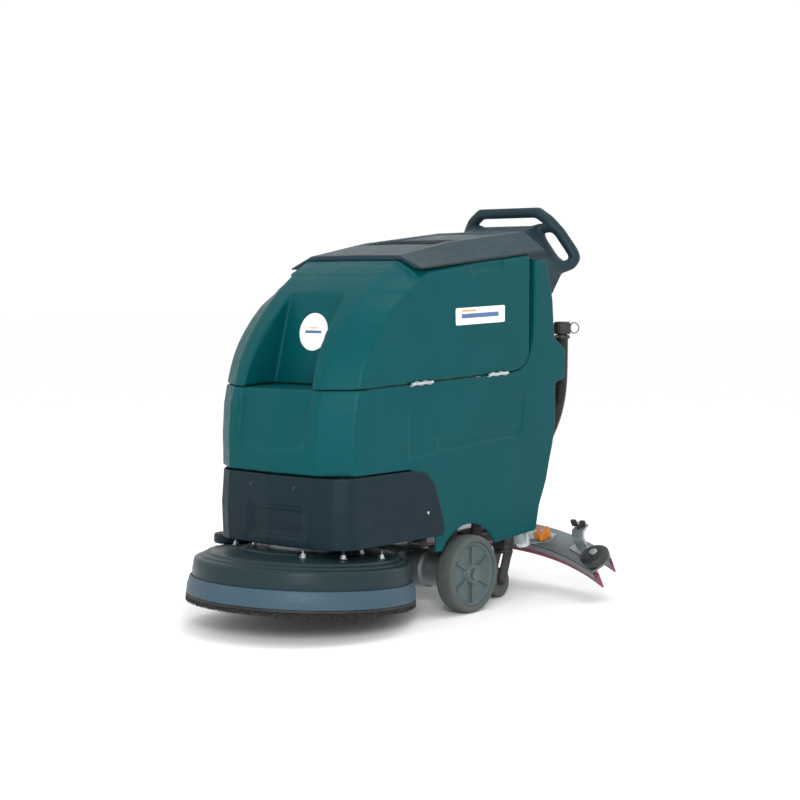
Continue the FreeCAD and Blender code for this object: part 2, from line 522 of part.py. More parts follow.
def route_path(pts, tag):
    pts = [V(*p) for p in pts]
    edges, cur = [], pts[0]
    for i in range(1, len(pts) - 1):
        a, b, c = pts[i - 1], pts[i], pts[i + 1]
        u, w = (a - b), (c - b)
        la, lc = u.Length, w.Length
        u.normalize()
        w.normalize()
        turn = math.pi - u.getAngle(w)
        if turn < 1e-4:
            continue
        t = 0.45 * min(la, lc)
        r = t / math.tan(turn / 2)
        p0, p1 = b + u * t, b + w * t
        bis = (u + w)
        bis.normalize()
        cen = b + bis * (r / math.cos(turn / 2))
        mid = cen - bis * r
        edges.append(Part.LineSegment(cur, p0).toShape())
        edges.append(Part.Arc(p0, mid, p1).toShape())
        print(tag, "arc radius %.1f turn %.1f" % (r, math.degrees(turn)))
        cur = p1
    edges.append(Part.LineSegment(cur, pts[-1]).toShape())
    return Part.Wire(edges)


def tube_on(pts, r, tag):
    w = route_path(pts, tag)
    d = V(*pts[1]) - V(*pts[0])
    prof = Part.Wire(Part.makeCircle(r, V(*pts[0]), d))
    s = w.makePipeShell([prof], True, False)
    print(tag, "volume %.0f section x length %.0f length %.0f" % (s.Volume, math.pi * r * r * w.Length, w.Length))
    return s


hose = tube_on(ROUTE, HOSE_OD / 2, "drain_hose").cut(NODES["lower_tank"].transformed(FreeCAD.Placement(V(0, -SHIFT_Y, 0), FreeCAD.Rotation()).toMatrix()))
put("drain_hose", hose)
neck = revolve([(0, 690), (19, 690), (19, 700), (14, 702), (14, 716), (0, 716)], CAPX, CAPY)
lug = box(CAPX - 8, CAPX + 8, CAPY - 78, CAPY - 16, 694, 700)
lug = lug.fuse(cyl((CAPX, CAPY, 691), (0, 0, 1), 22, 8)).cut(cyl((CAPX, CAPY, 690), (0, 0, 1), 19, 12))
lug = lug.cut(NODES["lower_tank"].transformed(FreeCAD.Placement(V(0, -SHIFT_Y, 0), FreeCAD.Rotation()).toMatrix()))
put("hose_clip", lug.fuse(neck))
cap = revolve([(14.0 + FIT, 703), (23, 703), (24, 706), (24, 732), (20, 737), (0, 738), (0, 718), (14.0 + FIT, 718)], CAPX, CAPY)
put("drain_cap", cap)

# clear level tube on the rear left corner
LT = [(192, 412, 576), (193, 415, 520), (192, 414, 466), (190, 402, 410), (187, 391, 366), (184, 380, 322)]
lt = tube_on(LT, 5.0, "level_tube")
inner = NODES["lower_tank"].transformed(FreeCAD.Placement(V(0, -SHIFT_Y, 0), FreeCAD.Rotation()).toMatrix())
lt = lt.cut(inner)
put("level_tube", lt)
fit1 = cyl((192, 398, 580), (0, 1, 0), 8, 20).fuse(cyl((192, 412, 574), (0, 0, 1), 7, 6))
fit2 = cyl((183, 362, 314), (0, 1, 0), 8, 22).fuse(cyl((183.6, 378.5, 316), (0, 0, 1), 7, 6))
fits = comp(fit1, fit2)
fits = Part.makeCompound([q.cut(inner).cut(lt) for q in fits.Solids])
put("level_tube_fittings", fits)
bowl = fuse(cyl((168, 296, 184), (0, 0.35, -1), 14, 14), cyl((168, 299.5, 174), (0, 0.35, -1), 19, 44))
pipe = rod((168, 296, 184), (168, 292, 236), 8)
put("filter_bowl", bowl.fuse(pipe).cut(inner))

# squeegee lift lever on the rear of the column
lev = fuse(rod((0, 414, 742), (0, 486, 700), 6), rod((0, 470, 709.3), (0, 506, 688.3), 11), cyl_x(-12, 12, 414, 742, 12))
lev = lev.fuse(cyl_x(-23, 23, 414, 742, 5.0))
put("squeegee_lever", lev)

# ---------------------------------------------------------------- squeegee (drawn lowered, then lifted)
def arc_face(r0, r1, half_deg, z):
    a = math.radians(half_deg)
    def pt(r, t):
        return V(r * math.sin(t), SQ_CY + r * math.cos(t), z)
    e = [Part.Arc(pt(r0, -a), pt(r0, 0), pt(r0, a)).toShape(), Part.LineSegment(pt(r0, a), pt(r1, a)).toShape(),
         Part.Arc(pt(r1, a), pt(r1, 0), pt(r1, -a)).toShape(), Part.LineSegment(pt(r1, -a), pt(r0, -a)).toShape()]
    return Part.Face(Part.Wire(e))


def arc_bar(r0, r1, half_deg, z0, z1):
    return arc_face(r0, r1, half_deg, z0).extrude(V(0, 0, z1 - z0))


def pol(r, deg):
    a = math.radians(deg)
    return r * math.sin(a), SQ_CY + r * math.cos(a)


body = fuse(arc_bar(815, 888, 28.2, 46, 52), arc_bar(826, 832, 28.2, 16, 47), arc_bar(874, 880, 28.2, 20, 47))
ends = box(-402, 402, 0, 600, -10, 100)
body = body.common(ends)
front_blade = arc_bar(821, 825.6, SQ_HALF, 2, 44)
rear_blade = arc_bar(880.4, 885, SQ_HALF, 0, 44).common(box(-405, 405, 0, 600, -10, 100))
strip = fuse(arc_bar(816.5, 820.6, 28.0, 22, 40), arc_bar(885.4, 888, 28.0, 22, 40)).common(ends)
RX, RY, RZ = 383.0, 310.0, 64.0
# roller posts, end brackets, hitch plate and its pivot pin
parts_b = []
WKX, WKY = 300.0, 384.0
for s in (1, -1):
    parts_b.append(cyl((s * RX, RY, 52), (0, 0, 1), 7.0, 38).fuse(cyl((s * RX, RY, 88.4), (0, 0, 1), 11, 5)))
    pl = prism_z([(s * 268, 352), (s * 292, 392), (s * (RX - 8), RY + 12), (s * (RX + 4), RY - 12), (s * 330, 325)] if s > 0 else
                 [(s * 330, 325), (s * (RX + 4), RY - 12), (s * (RX - 8), RY + 12), (s * 292, 392), (s * 268, 352)], 52, 56)
    parts_b.append(pl)
    c = prism_x([(366, 52), (374, 52), (370, 84), (378, 96), (404, 98), (404, 104), (374, 104), (362, 88)], min(s * 282, s * 318), max(s * 282, s * 318))
    parts_b.append(c)
    parts_b.append(cyl((s * WKX, 388, 100), (0, 0, 1), 5.0, 18))
    parts_b.append(cyl((s * 165, 384, 52), (0, 0, 1), 6.0, 26))
hitch = prism_z([(-195, 366), (-60, 340), (60, 340), (195, 366), (195, 402), (60, 420), (-60, 420), (-195, 402)], 52, 57)
hpin = cyl((0, 352, 57), (0, 0, 1), 10.0, 44)
brk = fuse(hitch, hpin, *parts_b)
PORT = (0, 0.788, 0.6157)        # leans back, so that a hose runs clear of the tank
sp = fuse(cyl((0, 398, 57), (0, 0, 1), 21, 20), cyl((0, 390, 74), PORT, 20.5, 38), cyl((0, 390 + 0.788 * 36, 74 + 0.6157 * 36), PORT, 24.0, 24))
sp = sp.cut(cyl((0, 390, 74), PORT, 18, 80)).cut(box(-60, 60, 300, 500, 40, 57))
print('body valid', body.isValid())
put("squeegee_body", body, SQ)
put("front_blade", front_blade, SQ)
put("rear_blade", rear_blade, SQ)
put("blade_strips", strip, SQ)
put("squeegee_brackets", brk, SQ)
put("suction_port", sp, SQ)
arm = []
for s in (1, -1):
    arm.append(prism_x([(SQ_Y - 12, SQ_Z + 8), (SQ_Y - 10, SQ_Z - 12), (334, 70), (352, 62), (366, 74), (352, 92)], s * 46 - 3, s * 46 + 3))
arm_s = fuse(arm[0], arm[1], box(-49, 49, 336, 368, 72, 82), tube((0, 352, 60), (0, 0, 1), 18, 10.0 + FIT, 36), cyl_x(-61, 61, SQ_Y, SQ_Z, 8.0))
arm_s = arm_s.cut(cyl((0, 352, 50), (0, 0, 1), 10.0 + FIT, 60))
put("squeegee_arm", arm_s, SQ)


def star(x, y, z0, r, n, post):
    s = cyl((x, y, z0), (0, 0, 1), r * 0.62, 20)
    for k in range(n):
        a = 2 * math.pi * k / n
        s = s.fuse(cyl((x + r * 0.68 * math.cos(a), y + r * 0.68 * math.sin(a), z0 + 4), (0, 0, 1), r * 0.3, 16))
    return s.cut(cyl((x, y, z0 - 1), (0, 0, 1), post + FIT, 60))


for s, n in ((1, "left"), (-1, "right")):
    put(n + "_star_knob", fuse(star(s * 165, 384, 57.5, 25, 5, 6.0)), SQ)
    wk = cyl((s * WKX, 388, 104.5), (0, 0, 1), 9, 12).cut(cyl((s * WKX, 388, 100), (0, 0, 1), 5.0 + FIT, 30))
    wk = fuse(wk, *[box(min(s * WKX + q * 7, s * WKX + q * 22), max(s * WKX + q * 7, s * WKX + q * 22), 384, 392, 108, 126) for q in (1, -1)])
    put(n + "_wing_knob", wk, SQ)
    ro = revolve([(7.0 + FIT, RZ), (30, RZ), (38, RZ + 3), (40, RZ + 7), (40, RZ + 17), (38, RZ + 21), (30, RZ + 24), (7.0 + FIT, RZ + 24)], s * RX, RY)
    put(n + "_squeegee_roller", ro, SQ)

# ---------------------------------------------------------------- write
lo = [1e9] * 3
hi = [-1e9] * 3
for name in sorted(NODES):
    s = NODES[name]
    sol = s.Solids
    if name in ("hose_clip", "level_tube_fittings", "suction_port"):
        print(name, [round(q.Volume) for q in sol])
        sol = [q for q in sol if q.Volume > 3000]
    if len(sol) == 1:
        s = sol[0]
    else:
        s = Part.makeCompound(sol)
    bb = s.BoundBox
    for i, (a, b) in enumerate(((bb.XMin, bb.XMax), (bb.YMin, bb.YMax), (bb.ZMin, bb.ZMax))):
        lo[i] = min(lo[i], a)
        hi[i] = max(hi[i], b)
    print("%-24s solids %d valid %s vol %.0f" % (name, len(sol), s.isValid(), s.Volume))
    s.exportStep("parts/%s.step" % name)
print(len(NODES), "nodes; box", [round(v, 2) for v in lo], [round(v, 2) for v in hi])
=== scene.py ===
import json
import math
import random

import bmesh
import bpy
import numpy as np
from mathutils import Matrix, Vector

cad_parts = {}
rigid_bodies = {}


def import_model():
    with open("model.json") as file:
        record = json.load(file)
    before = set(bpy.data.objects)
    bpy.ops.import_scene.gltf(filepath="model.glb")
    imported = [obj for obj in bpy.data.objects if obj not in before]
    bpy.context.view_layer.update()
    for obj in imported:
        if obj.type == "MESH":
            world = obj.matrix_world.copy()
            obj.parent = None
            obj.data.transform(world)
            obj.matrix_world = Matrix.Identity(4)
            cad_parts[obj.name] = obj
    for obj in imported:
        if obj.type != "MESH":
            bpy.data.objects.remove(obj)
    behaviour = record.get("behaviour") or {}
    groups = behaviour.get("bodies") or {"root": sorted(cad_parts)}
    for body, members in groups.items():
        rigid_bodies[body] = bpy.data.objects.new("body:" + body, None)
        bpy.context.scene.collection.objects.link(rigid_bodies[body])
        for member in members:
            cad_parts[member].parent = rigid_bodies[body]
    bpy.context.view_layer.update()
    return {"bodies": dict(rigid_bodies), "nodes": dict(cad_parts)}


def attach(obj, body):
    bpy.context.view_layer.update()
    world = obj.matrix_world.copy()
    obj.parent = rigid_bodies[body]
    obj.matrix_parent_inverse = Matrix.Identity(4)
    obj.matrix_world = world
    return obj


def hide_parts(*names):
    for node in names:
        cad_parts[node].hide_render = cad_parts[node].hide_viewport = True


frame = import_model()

N = frame["nodes"]
SHIFT = 73.63          # the drive axle is at y = 0 in the working frame, in mm
random.seed(7)
rng = np.random.default_rng(7)


def row(x, y, z):
    return Vector((x / 1000.0, (y + SHIFT) / 1000.0, z / 1000.0))


TO_ROW = Matrix.Translation((0, SHIFT / 1000.0, 0)) @ Matrix.Scale(0.001, 4)
DECK = TO_ROW @ Matrix.Translation((0, -388, 54)) @ Matrix.Rotation(math.radians(-3.5), 4, "X")
SQ = TO_ROW @ Matrix.Translation((0, 250, 150)) @ Matrix.Rotation(math.radians(32.1), 4, "X") @ Matrix.Translation((0, -250, -150))
PANEL = TO_ROW @ Matrix.Translation((0, 491.5, 951.5)) @ Matrix.Rotation(math.radians(14.7), 4, "X")


# ------------------------------------------------------------------ materials
def new_mat(name):
    m = bpy.data.materials.new(name)
    m.use_nodes = True
    nt = m.node_tree
    for n in list(nt.nodes):
        nt.nodes.remove(n)
    out = nt.nodes.new("ShaderNodeOutputMaterial")
    p = nt.nodes.new("ShaderNodeBsdfPrincipled")
    nt.links.new(p.outputs[0], out.inputs[0])
    tc = nt.nodes.new("ShaderNodeTexCoord")
    return m, nt, p, tc.outputs["Object"]


def srgb(r, g, b):
    def f(c):
        c /= 255.0
        return c / 12.92 if c <= 0.04045 else ((c + 0.055) / 1.055) ** 2.4
    return (f(r), f(g), f(b), 1.0)


def noise(nt, co, scale, detail=4.0, rough=0.6, dist=0.0):
    n = nt.nodes.new("ShaderNodeTexNoise")
    n.inputs["Scale"].default_value = scale
    n.inputs["Detail"].default_value = detail
    n.inputs["Roughness"].default_value = rough
    n.inputs["Distortion"].default_value = dist
    nt.links.new(co, n.inputs["Vector"])
    return n.outputs["Fac"]


def ramp(nt, fac, stops):
    r = nt.nodes.new("ShaderNodeValToRGB")
    while len(r.color_ramp.elements) > 1:
        r.color_ramp.elements.remove(r.color_ramp.elements[-1])
    for i, (p, c) in enumerate(stops):
        e = r.color_ramp.elements[0] if i == 0 else r.color_ramp.elements.new(p)
        e.position = p
        e.color = c if len(c) == 4 else (*c, 1.0)
    nt.links.new(fac, r.inputs[0])
    return r.outputs[0]


def mix(nt, fac, a, b):
    m = nt.nodes.new("ShaderNodeMix")
    m.data_type = "RGBA"
    if isinstance(fac, float):
        m.inputs[0].default_value = fac
    else:
        nt.links.new(fac, m.inputs[0])
    for s, v in ((6, a), (7, b)):
        if isinstance(v, tuple):
            m.inputs[s].default_value = v
        else:
            nt.links.new(v, m.inputs[s])
    return m.outputs[2]


def span(nt, fac, lo, hi, a=0.3, b=0.7):
    m = nt.nodes.new("ShaderNodeMapRange")
    m.inputs["From Min"].default_value = a
    m.inputs["From Max"].default_value = b
    m.inputs["To Min"].default_value = lo
    m.inputs["To Max"].default_value = hi
    nt.links.new(fac, m.inputs["Value"])
    return m.outputs[0]


def scale_col(c, k):
    return (min(1, c[0] * k), min(1, c[1] * k), min(1, c[2] * k), 1.0)


def bumps(nt, p, pairs):
    prev = None
    for fac, dist, strength in pairs:
        b = nt.nodes.new("ShaderNodeBump")
        b.inputs["Strength"].default_value = strength
        b.inputs["Distance"].default_value = dist
        nt.links.new(fac, b.inputs["Height"])
        if prev is not None:
            nt.links.new(prev, b.inputs["Normal"])
        prev = b.outputs[0]
    nt.links.new(prev, p.inputs["Normal"])


def worn_edges(nt, lo=0.52, hi=0.60):
    g = nt.nodes.new("ShaderNodeNewGeometry")
    return span(nt, g.outputs["Pointiness"], 0.0, 1.0, lo, hi)


def plastic(name, c, rough=0.42, grain=900.0, grain_d=0.00006, wear=0.16, mottle=0.07, coat=0.0, spec=0.5):
    m, nt, p, co = new_mat(name)
    big = noise(nt, co, 5.0, 3.0)
    mid = noise(nt, co, 45.0, 5.0)
    base = mix(nt, span(nt, big, 0.0, 1.0), scale_col(c, 1 - mottle), scale_col(c, 1 + mottle))
    fine = noise(nt, co, 260.0, 3.0)
    base = mix(nt, span(nt, fine, 0.0, 0.25, 0.45, 0.75), base, scale_col(c, 1.22))
    edge = worn_edges(nt)
    patch = span(nt, mid, 0.0, 1.0, 0.42, 0.62)
    both = nt.nodes.new("ShaderNodeMath")
    both.operation = "MULTIPLY"
    nt.links.new(edge, both.inputs[0])
    nt.links.new(patch, both.inputs[1])
    lim = nt.nodes.new("ShaderNodeMath")
    lim.operation = "MULTIPLY"
    lim.inputs[1].default_value = wear
    nt.links.new(both.outputs[0], lim.inputs[0])
    lighter = (min(1, c[0] * 0.7 + 0.16), min(1, c[1] * 0.7 + 0.16), min(1, c[2] * 0.7 + 0.16), 1)
    base = mix(nt, lim.outputs[0], base, lighter)
    nt.links.new(base, p.inputs["Base Color"])
    nt.links.new(span(nt, mid, rough - 0.07, rough + 0.09), p.inputs["Roughness"])
    p.inputs["Specular IOR Level"].default_value = spec
    p.inputs["Coat Weight"].default_value = coat
    p.inputs["Coat Roughness"].default_value = 0.38
    grainy = noise(nt, co, grain, 2.0)
    wave = noise(nt, co, 9.0, 2.0)
    bumps(nt, p, [(wave, 0.0012, 0.25), (grainy, grain_d, 0.55)])
    return m


def metal(name, c, rough=0.35, brush=(1, 1, 1), spots=0.12, metallic=1.0):
    m, nt, p, co = new_mat(name)
    mp = nt.nodes.new("ShaderNodeMapping")
    mp.inputs["Scale"].default_value = brush
    nt.links.new(co, mp.inputs["Vector"])
    streak = noise(nt, mp.outputs[0], 160.0, 4.0)
    blot = noise(nt, co, 28.0, 4.0)
    base = mix(nt, span(nt, blot, 0.0, 1.0), scale_col(c, 1 - spots), scale_col(c, 1 + spots * 0.6))
    nt.links.new(base, p.inputs["Base Color"])
    p.inputs["Metallic"].default_value = metallic
    nt.links.new(span(nt, streak, rough - 0.1, rough + 0.14), p.inputs["Roughness"])
    bumps(nt, p, [(streak, 0.00012, 0.35), (blot, 0.0004, 0.15)])
    return m


def rubber(name, c, rough=0.68, dust=0.18):
    m, nt, p, co = new_mat(name)
    a = noise(nt, co, 30.0, 6.0)
    b = noise(nt, co, 420.0, 3.0)
    base = mix(nt, span(nt, a, 0.0, dust, 0.45, 0.7), c, srgb(150, 148, 142))
    base = mix(nt, span(nt, b, 0.0, 0.3), base, scale_col(c, 0.75))
    nt.links.new(base, p.inputs["Base Color"])
    nt.links.new(span(nt, a, rough - 0.08, rough + 0.12), p.inputs["Roughness"])
    p.inputs["Specular IOR Level"].default_value = 0.35
    bumps(nt, p, [(a, 0.0005, 0.3), (b, 0.00012, 0.5)])
    return m


def bristle_mat(name, c, tip):
    m, nt, p, co = new_mat(name)
    mp = nt.nodes.new("ShaderNodeMapping")
    mp.inputs["Scale"].default_value = (1.0, 1.0, 0.06)
    nt.links.new(co, mp.inputs["Vector"])
    s = noise(nt, mp.outputs[0], 900.0, 2.0)
    base = mix(nt, span(nt, s, 0.0, 1.0, 0.4, 0.65), c, tip)
    nt.links.new(base, p.inputs["Base Color"])
    nt.links.new(span(nt, s, 0.4, 0.7), p.inputs["Roughness"])
    bumps(nt, p, [(s, 0.0004, 0.6)])
    return m


def clear(name, tint, rough=0.12, trans=0.85):
    m, nt, p, co = new_mat(name)
    a = noise(nt, co, 60.0, 4.0)
    nt.links.new(mix(nt, span(nt, a, 0.0, 1.0), tint, scale_col(tint, 0.85)), p.inputs["Base Color"])
    nt.links.new(span(nt, a, rough, rough + 0.15), p.inputs["Roughness"])
    p.inputs["Transmission Weight"].default_value = trans
    p.inputs["IOR"].default_value = 1.42
    bumps(nt, p, [(a, 0.0002, 0.3)])
    return m


GREEN = srgb(0, 70, 74)
M = {
    "green": plastic("green_tank_plastic", GREEN, 0.42, 700.0, 0.00007, 0.10, 0.05, 0.0, 0.09),
    "slate": plastic("slate_cover_plastic", srgb(13, 33, 41), 0.46, 800.0, 0.00008, 0.12, 0.05, 0.0, 0.14),
    "lid": plastic("lid_plastic", srgb(30, 52, 60), 0.42, 800.0, 0.00007, 0.12, 0.05, 0.0, 0.14),
    "handle": plastic("handle_plastic", srgb(27, 48, 55), 0.5, 1100.0, 0.0001, 0.14, 0.07, 0.0, 0.2),
    "deck": plastic("deck_gloss_plastic", srgb(30, 46, 50), 0.36, 900.0, 0.00003, 0.05, 0.04, 0.04, 0.12),
    "skirt": plastic("splash_skirt_plastic", srgb(56, 77, 89), 0.46, 900.0, 0.00006, 0.08, 0.05, 0.0, 0.18),
    "black": plastic("black_moulded_plastic", srgb(30, 31, 33), 0.45, 900.0, 0.00008, 0.18),
    "orange": plastic("orange_moulded_plastic", srgb(206, 118, 6), 0.38, 900.0, 0.00006, 0.10),
    "hub": plastic("hub_plastic", srgb(64, 80, 82), 0.42, 900.0, 0.00006, 0.12),
    "tyre": rubber("grey_tyre_rubber", srgb(72, 80, 78), 0.66, 0.08),
    "rubber": rubber("black_rubber", srgb(26, 27, 28), 0.6, 0.08),
    "frame": plastic("black_powder_coat", srgb(28, 30, 33), 0.5, 1400.0, 0.00012, 0.3),
    "zinc": metal("zinc_plated_steel", srgb(196, 200, 204), 0.32, (1, 6, 1)),
    "silver": metal("silver_painted_housing", srgb(168, 174, 178), 0.42, (1, 1, 1), 0.08, 0.75),
    "alu": metal("cast_aluminium", srgb(176, 184, 186), 0.42, (2, 1, 4), 0.1, 0.9),
    "squeegee": metal("painted_squeegee_metal", srgb(120, 130, 134), 0.4, (1, 1, 3), 0.08, 0.6),
    "battery": plastic("battery_case", srgb(45, 46, 48), 0.5),
    "bristle": bristle_mat("black_bristles", srgb(14, 15, 16), srgb(44, 46, 48)),
    "clear": clear("milky_clear_tube", (0.82, 0.90, 0.94, 1), 0.12, 0.7),
    "blade": None, "white": None,
}


def blade_mat():
    m, nt, p, co = new_mat("crimson_urethane")
    a = noise(nt, co, 35.0, 4.0)
    b = noise(nt, co, 500.0, 2.0)
    nt.links.new(mix(nt, span(nt, a, 0.0, 1.0), srgb(112, 20, 56), srgb(138, 32, 72)), p.inputs["Base Color"])
    nt.links.new(span(nt, a, 0.32, 0.5), p.inputs["Roughness"])
    p.inputs["Subsurface Weight"].default_value = 0.15
    p.inputs["Subsurface Scale"].default_value = 0.004
    bumps(nt, p, [(a, 0.0003, 0.25), (b, 0.00008, 0.4)])
    return m


def badge_mat(name, cx, cz, r, kind):
    # plain printed disc or plate: white field with soft grey blotches
    m, nt, p, co = new_mat(name)
    a = noise(nt, co, 120.0, 3.0)
    white, blue, warm = srgb(236, 238, 238), srgb(70, 96, 150), srgb(214, 150, 60)
    base = mix(nt, span(nt, a, 0.0, 0.12), white, srgb(200, 204, 206))
    nt.links.new(base, p.inputs["Base Color"])
    nt.links.new(span(nt, a, 0.22, 0.36), p.inputs["Roughness"])
    p.inputs["Coat Weight"].default_value = 0.3
    p.inputs["Coat Roughness"].default_value = 0.15
    bumps(nt, p, [(a, 0.00008, 0.3)])
    return m


M["blade"] = blade_mat()
M["white"] = badge_mat("printed_white_label", 0, 0, 0, "")
M["blue"] = plastic("printed_blue_band", srgb(72, 98, 150), 0.35, 1200.0, 0.00002, 0.05)
M["warm"] = plastic("printed_amber_band", srgb(214, 150, 62), 0.35, 1200.0, 0.00002, 0.05)
M["red"] = plastic("red_moulded_plastic", srgb(180, 32, 30), 0.36, 900.0, 0.00005, 0.08)

for n, k in dict(
        chassis_frame="frame", batteries="battery", transaxle_housing="alu", lower_hinge_leaves="zinc", hinge_pins="zinc",
        control_panel="black", hose_clip="black", level_tube="clear", level_tube_fittings="black", filter_bowl="clear",
        vacuum_motor="black", left_axle="hub", right_axle="hub", left_caster_fork="frame", right_caster_fork="frame",
        left_caster_wheel="tyre", right_caster_wheel="tyre", deck_lift_arm="frame", brush_motor="silver", brush_disc="black",
        deck_pedal="frame", upper_hinge_leaves="zinc", float_cage="black", lid_gasket="rubber", squeegee_arm="frame",
        squeegee_body="squeegee", front_blade="blade", rear_blade="blade", blade_strips="squeegee", squeegee_brackets="alu",
        suction_port="black", left_wing_knob="black", right_wing_knob="black", squeegee_lever="frame", brush_button="black",
        water_button="black", key_switch="zinc", speed_knob="black", drive_trigger="black", lower_tank="green",
        recovery_tank="green", front_cover="slate", tank_lid="lid", handle_housing="handle", deck_cover="deck",
        splash_skirt="skirt", skirt_brush="bristle", brush_bristles="bristle", deck_roller="slate", deck_studs="zinc",
        drain_hose="rubber", drain_cap="black", left_tyre="tyre", right_tyre="tyre", left_wheel_hub="hub", right_wheel_hub="hub",
        left_star_knob="orange", right_star_knob="orange", left_squeegee_roller="black", right_squeegee_roller="black").items():
    me = N[n].data
    me.materials.clear()
    me.materials.append(M[k])


BODY = {}
for b, e in frame["bodies"].items():
    for n, o in N.items():
        if o.parent == e:
            BODY[n] = b


def place(o, node, swap=True):
    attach(o, BODY[node])
    if swap:
        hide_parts(node)
    return o


# ------------------------------------------------------------------ mesh helpers
def link(name, me, mat, matrix=None):
    if matrix is not None:
        me.transform(matrix)
    me.materials.clear()
    me.materials.append(M[mat])
    o = bpy.data.objects.new(name, me)
    bpy.context.scene.collection.objects.link(o)
    return o


def from_bm(name, bm, mat, matrix=None, smooth=True, angle=None):
    me = bpy.data.meshes.new(name)
    bmesh.ops.recalc_face_normals(bm, faces=bm.faces)
    bm.to_mesh(me)
    bm.free()
    for f in me.polygons:
        f.use_smooth = smooth
    o = link(name, me, mat, matrix)
    if angle is not None:
        sharpen(o, angle)
    return o


def sharpen(o, deg):
    me = o.data
    bm = bmesh.new()
    bm.from_mesh(me)
    lim = math.radians(deg)
    for e in bm.edges:
        if len(e.link_faces) == 2 and e.calc_face_angle(0) > lim:
            e.smooth = False
    bm.to_mesh(me)
    bm.free()


def apply_mods(o):
    bpy.context.view_layer.update()
    dg = bpy.context.evaluated_depsgraph_get()
    me = bpy.data.meshes.new_from_object(o.evaluated_get(dg))
    old = o.data
    o.modifiers.clear()
    o.data = me
    if old.users == 0:
        bpy.data.meshes.remove(old)
    return o


def bevel(o, width, segs=3, angle=30, clamp=True):
    w = o.modifiers.new("w", "WELD")
    w.merge_threshold = 1e-5
    b = o.modifiers.new("b", "BEVEL")
    b.width = width / 1000.0
    b.segments = segs
    b.limit_method = "ANGLE"
    b.angle_limit = math.radians(angle)
    b.use_clamp_overlap = clamp
    apply_mods(o)
    for f in o.data.polygons:
        f.use_smooth = True
    sharpen(o, 40)
    return o


def cad_copy(node, name, mat):
    bm = bmesh.new()
    bm.from_mesh(N[node].data)
    bmesh.ops.remove_doubles(bm, verts=bm.verts, dist=2e-6)
    return from_bm(name, bm, mat)


def boolean(o, tool, op="DIFFERENCE"):
    b = o.modifiers.new("x", "BOOLEAN")
    b.operation = op
    b.object = tool
    b.solver = "EXACT"
    apply_mods(o)
    me = tool.data
    bpy.data.objects.remove(tool)
    bpy.data.meshes.remove(me)
    return o


def add_in(o, tool):
    """puts another closed shape into the mesh; the remesh that follows makes them one"""
    bm = bmesh.new()
    bm.from_mesh(o.data)
    bm.from_mesh(tool.data)
    bm.to_mesh(o.data)
    bm.free()
    me = tool.data
    bpy.data.objects.remove(tool)
    bpy.data.meshes.remove(me)
    return o


def voxel(o, size, smooth, factor=0.5, keep=1.0):
    r = o.modifiers.new("r", "REMESH")
    r.mode = "VOXEL"
    r.voxel_size = size / 1000.0
    r.use_smooth_shade = True
    s = o.modifiers.new("s", "SMOOTH")
    s.factor = factor
    s.iterations = smooth
    if keep < 1.0:
        d = o.modifiers.new("d", "DECIMATE")
        d.ratio = keep
    apply_mods(o)
    for f in o.data.polygons:
        f.use_smooth = True
    return o


def bm_prism(bm, pts, axis, a, b):
    """closed prism of a polygon in the two other axes, along axis from a to b (numbers or functions of the point)"""
    def put(p, t):
        v = t(p) if callable(t) else t
        if axis == "x":
            return (v, p[0], p[1])
        if axis == "y":
            return (p[0], v, p[1])
        return (p[0], p[1], v)
    A = [bm.verts.new(put(p, a)) for p in pts]
    B = [bm.verts.new(put(p, b)) for p in pts]
    n = len(pts)
    bm.faces.new(A)
    bm.faces.new(B[::-1])
    for i in range(n):
        bm.faces.new((A[i], B[i], B[(i + 1) % n], A[(i + 1) % n]))


def prism(name, pts, axis, a, b, mat="black", matrix=TO_ROW):
    bm = bmesh.new()
    bm_prism(bm, pts, axis, a, b)
    bmesh.ops.triangulate(bm, faces=[f for f in bm.faces if len(f.verts) > 4])
    return from_bm(name, bm, mat, matrix, smooth=False)


def slab(name, x0, x1, y0, y1, z0, z1, mat, r=1.0, matrix=TO_ROW, segs=3):
    bm = bmesh.new()
    bm_prism(bm, [(x0, y0), (x1, y0), (x1, y1), (x0, y1)], "z", z0, z1)
    bmesh.ops.bevel(bm, geom=list(bm.edges), offset=r, segments=segs, affect="EDGES", profile=0.6)
    return from_bm(name, bm, mat, matrix, angle=45)


def bm_revolve(bm, prof, segs, centre=(0, 0, 0), axis="z", wob=None):
    """closed ring of revolution of a closed (r, t) outline; r = 0 points become single poles"""
    rings = []
    for k, (r, t) in enumerate(prof):
        if r < 1e-6:
            rings.append([bm.verts.new(_ax(0, 0, t, axis, centre))] * segs)
            continue
        ring = []
        for i in range(segs):
            a = 2 * math.pi * i / segs
            rr = r + (wob(a, k, r, t) if wob else 0.0)
            ring.append(bm.verts.new(_ax(rr * math.cos(a), rr * math.sin(a), t, axis, centre)))
        rings.append(ring)
    m = len(rings)
    for k in range(m):
        A, B = rings[k], rings[(k + 1) % m]
        if A[0] is A[1] and B[0] is B[1]:
            continue
        for i in range(segs):
            j = (i + 1) % segs
            vs = []
            for v in (A[i], A[j], B[j], B[i]):
                if v not in vs:
                    vs.append(v)
            if len(vs) > 2:
                try:
                    bm.faces.new(vs)
                except ValueError:
                    pass


def _ax(u, v, t, axis, c):
    if axis == "z":
        return (c[0] + u, c[1] + v, c[2] + t)
    if axis == "x":
        return (c[0] + t, c[1] + u, c[2] + v)
    return (c[0] + u, c[1] + t, c[2] - v)


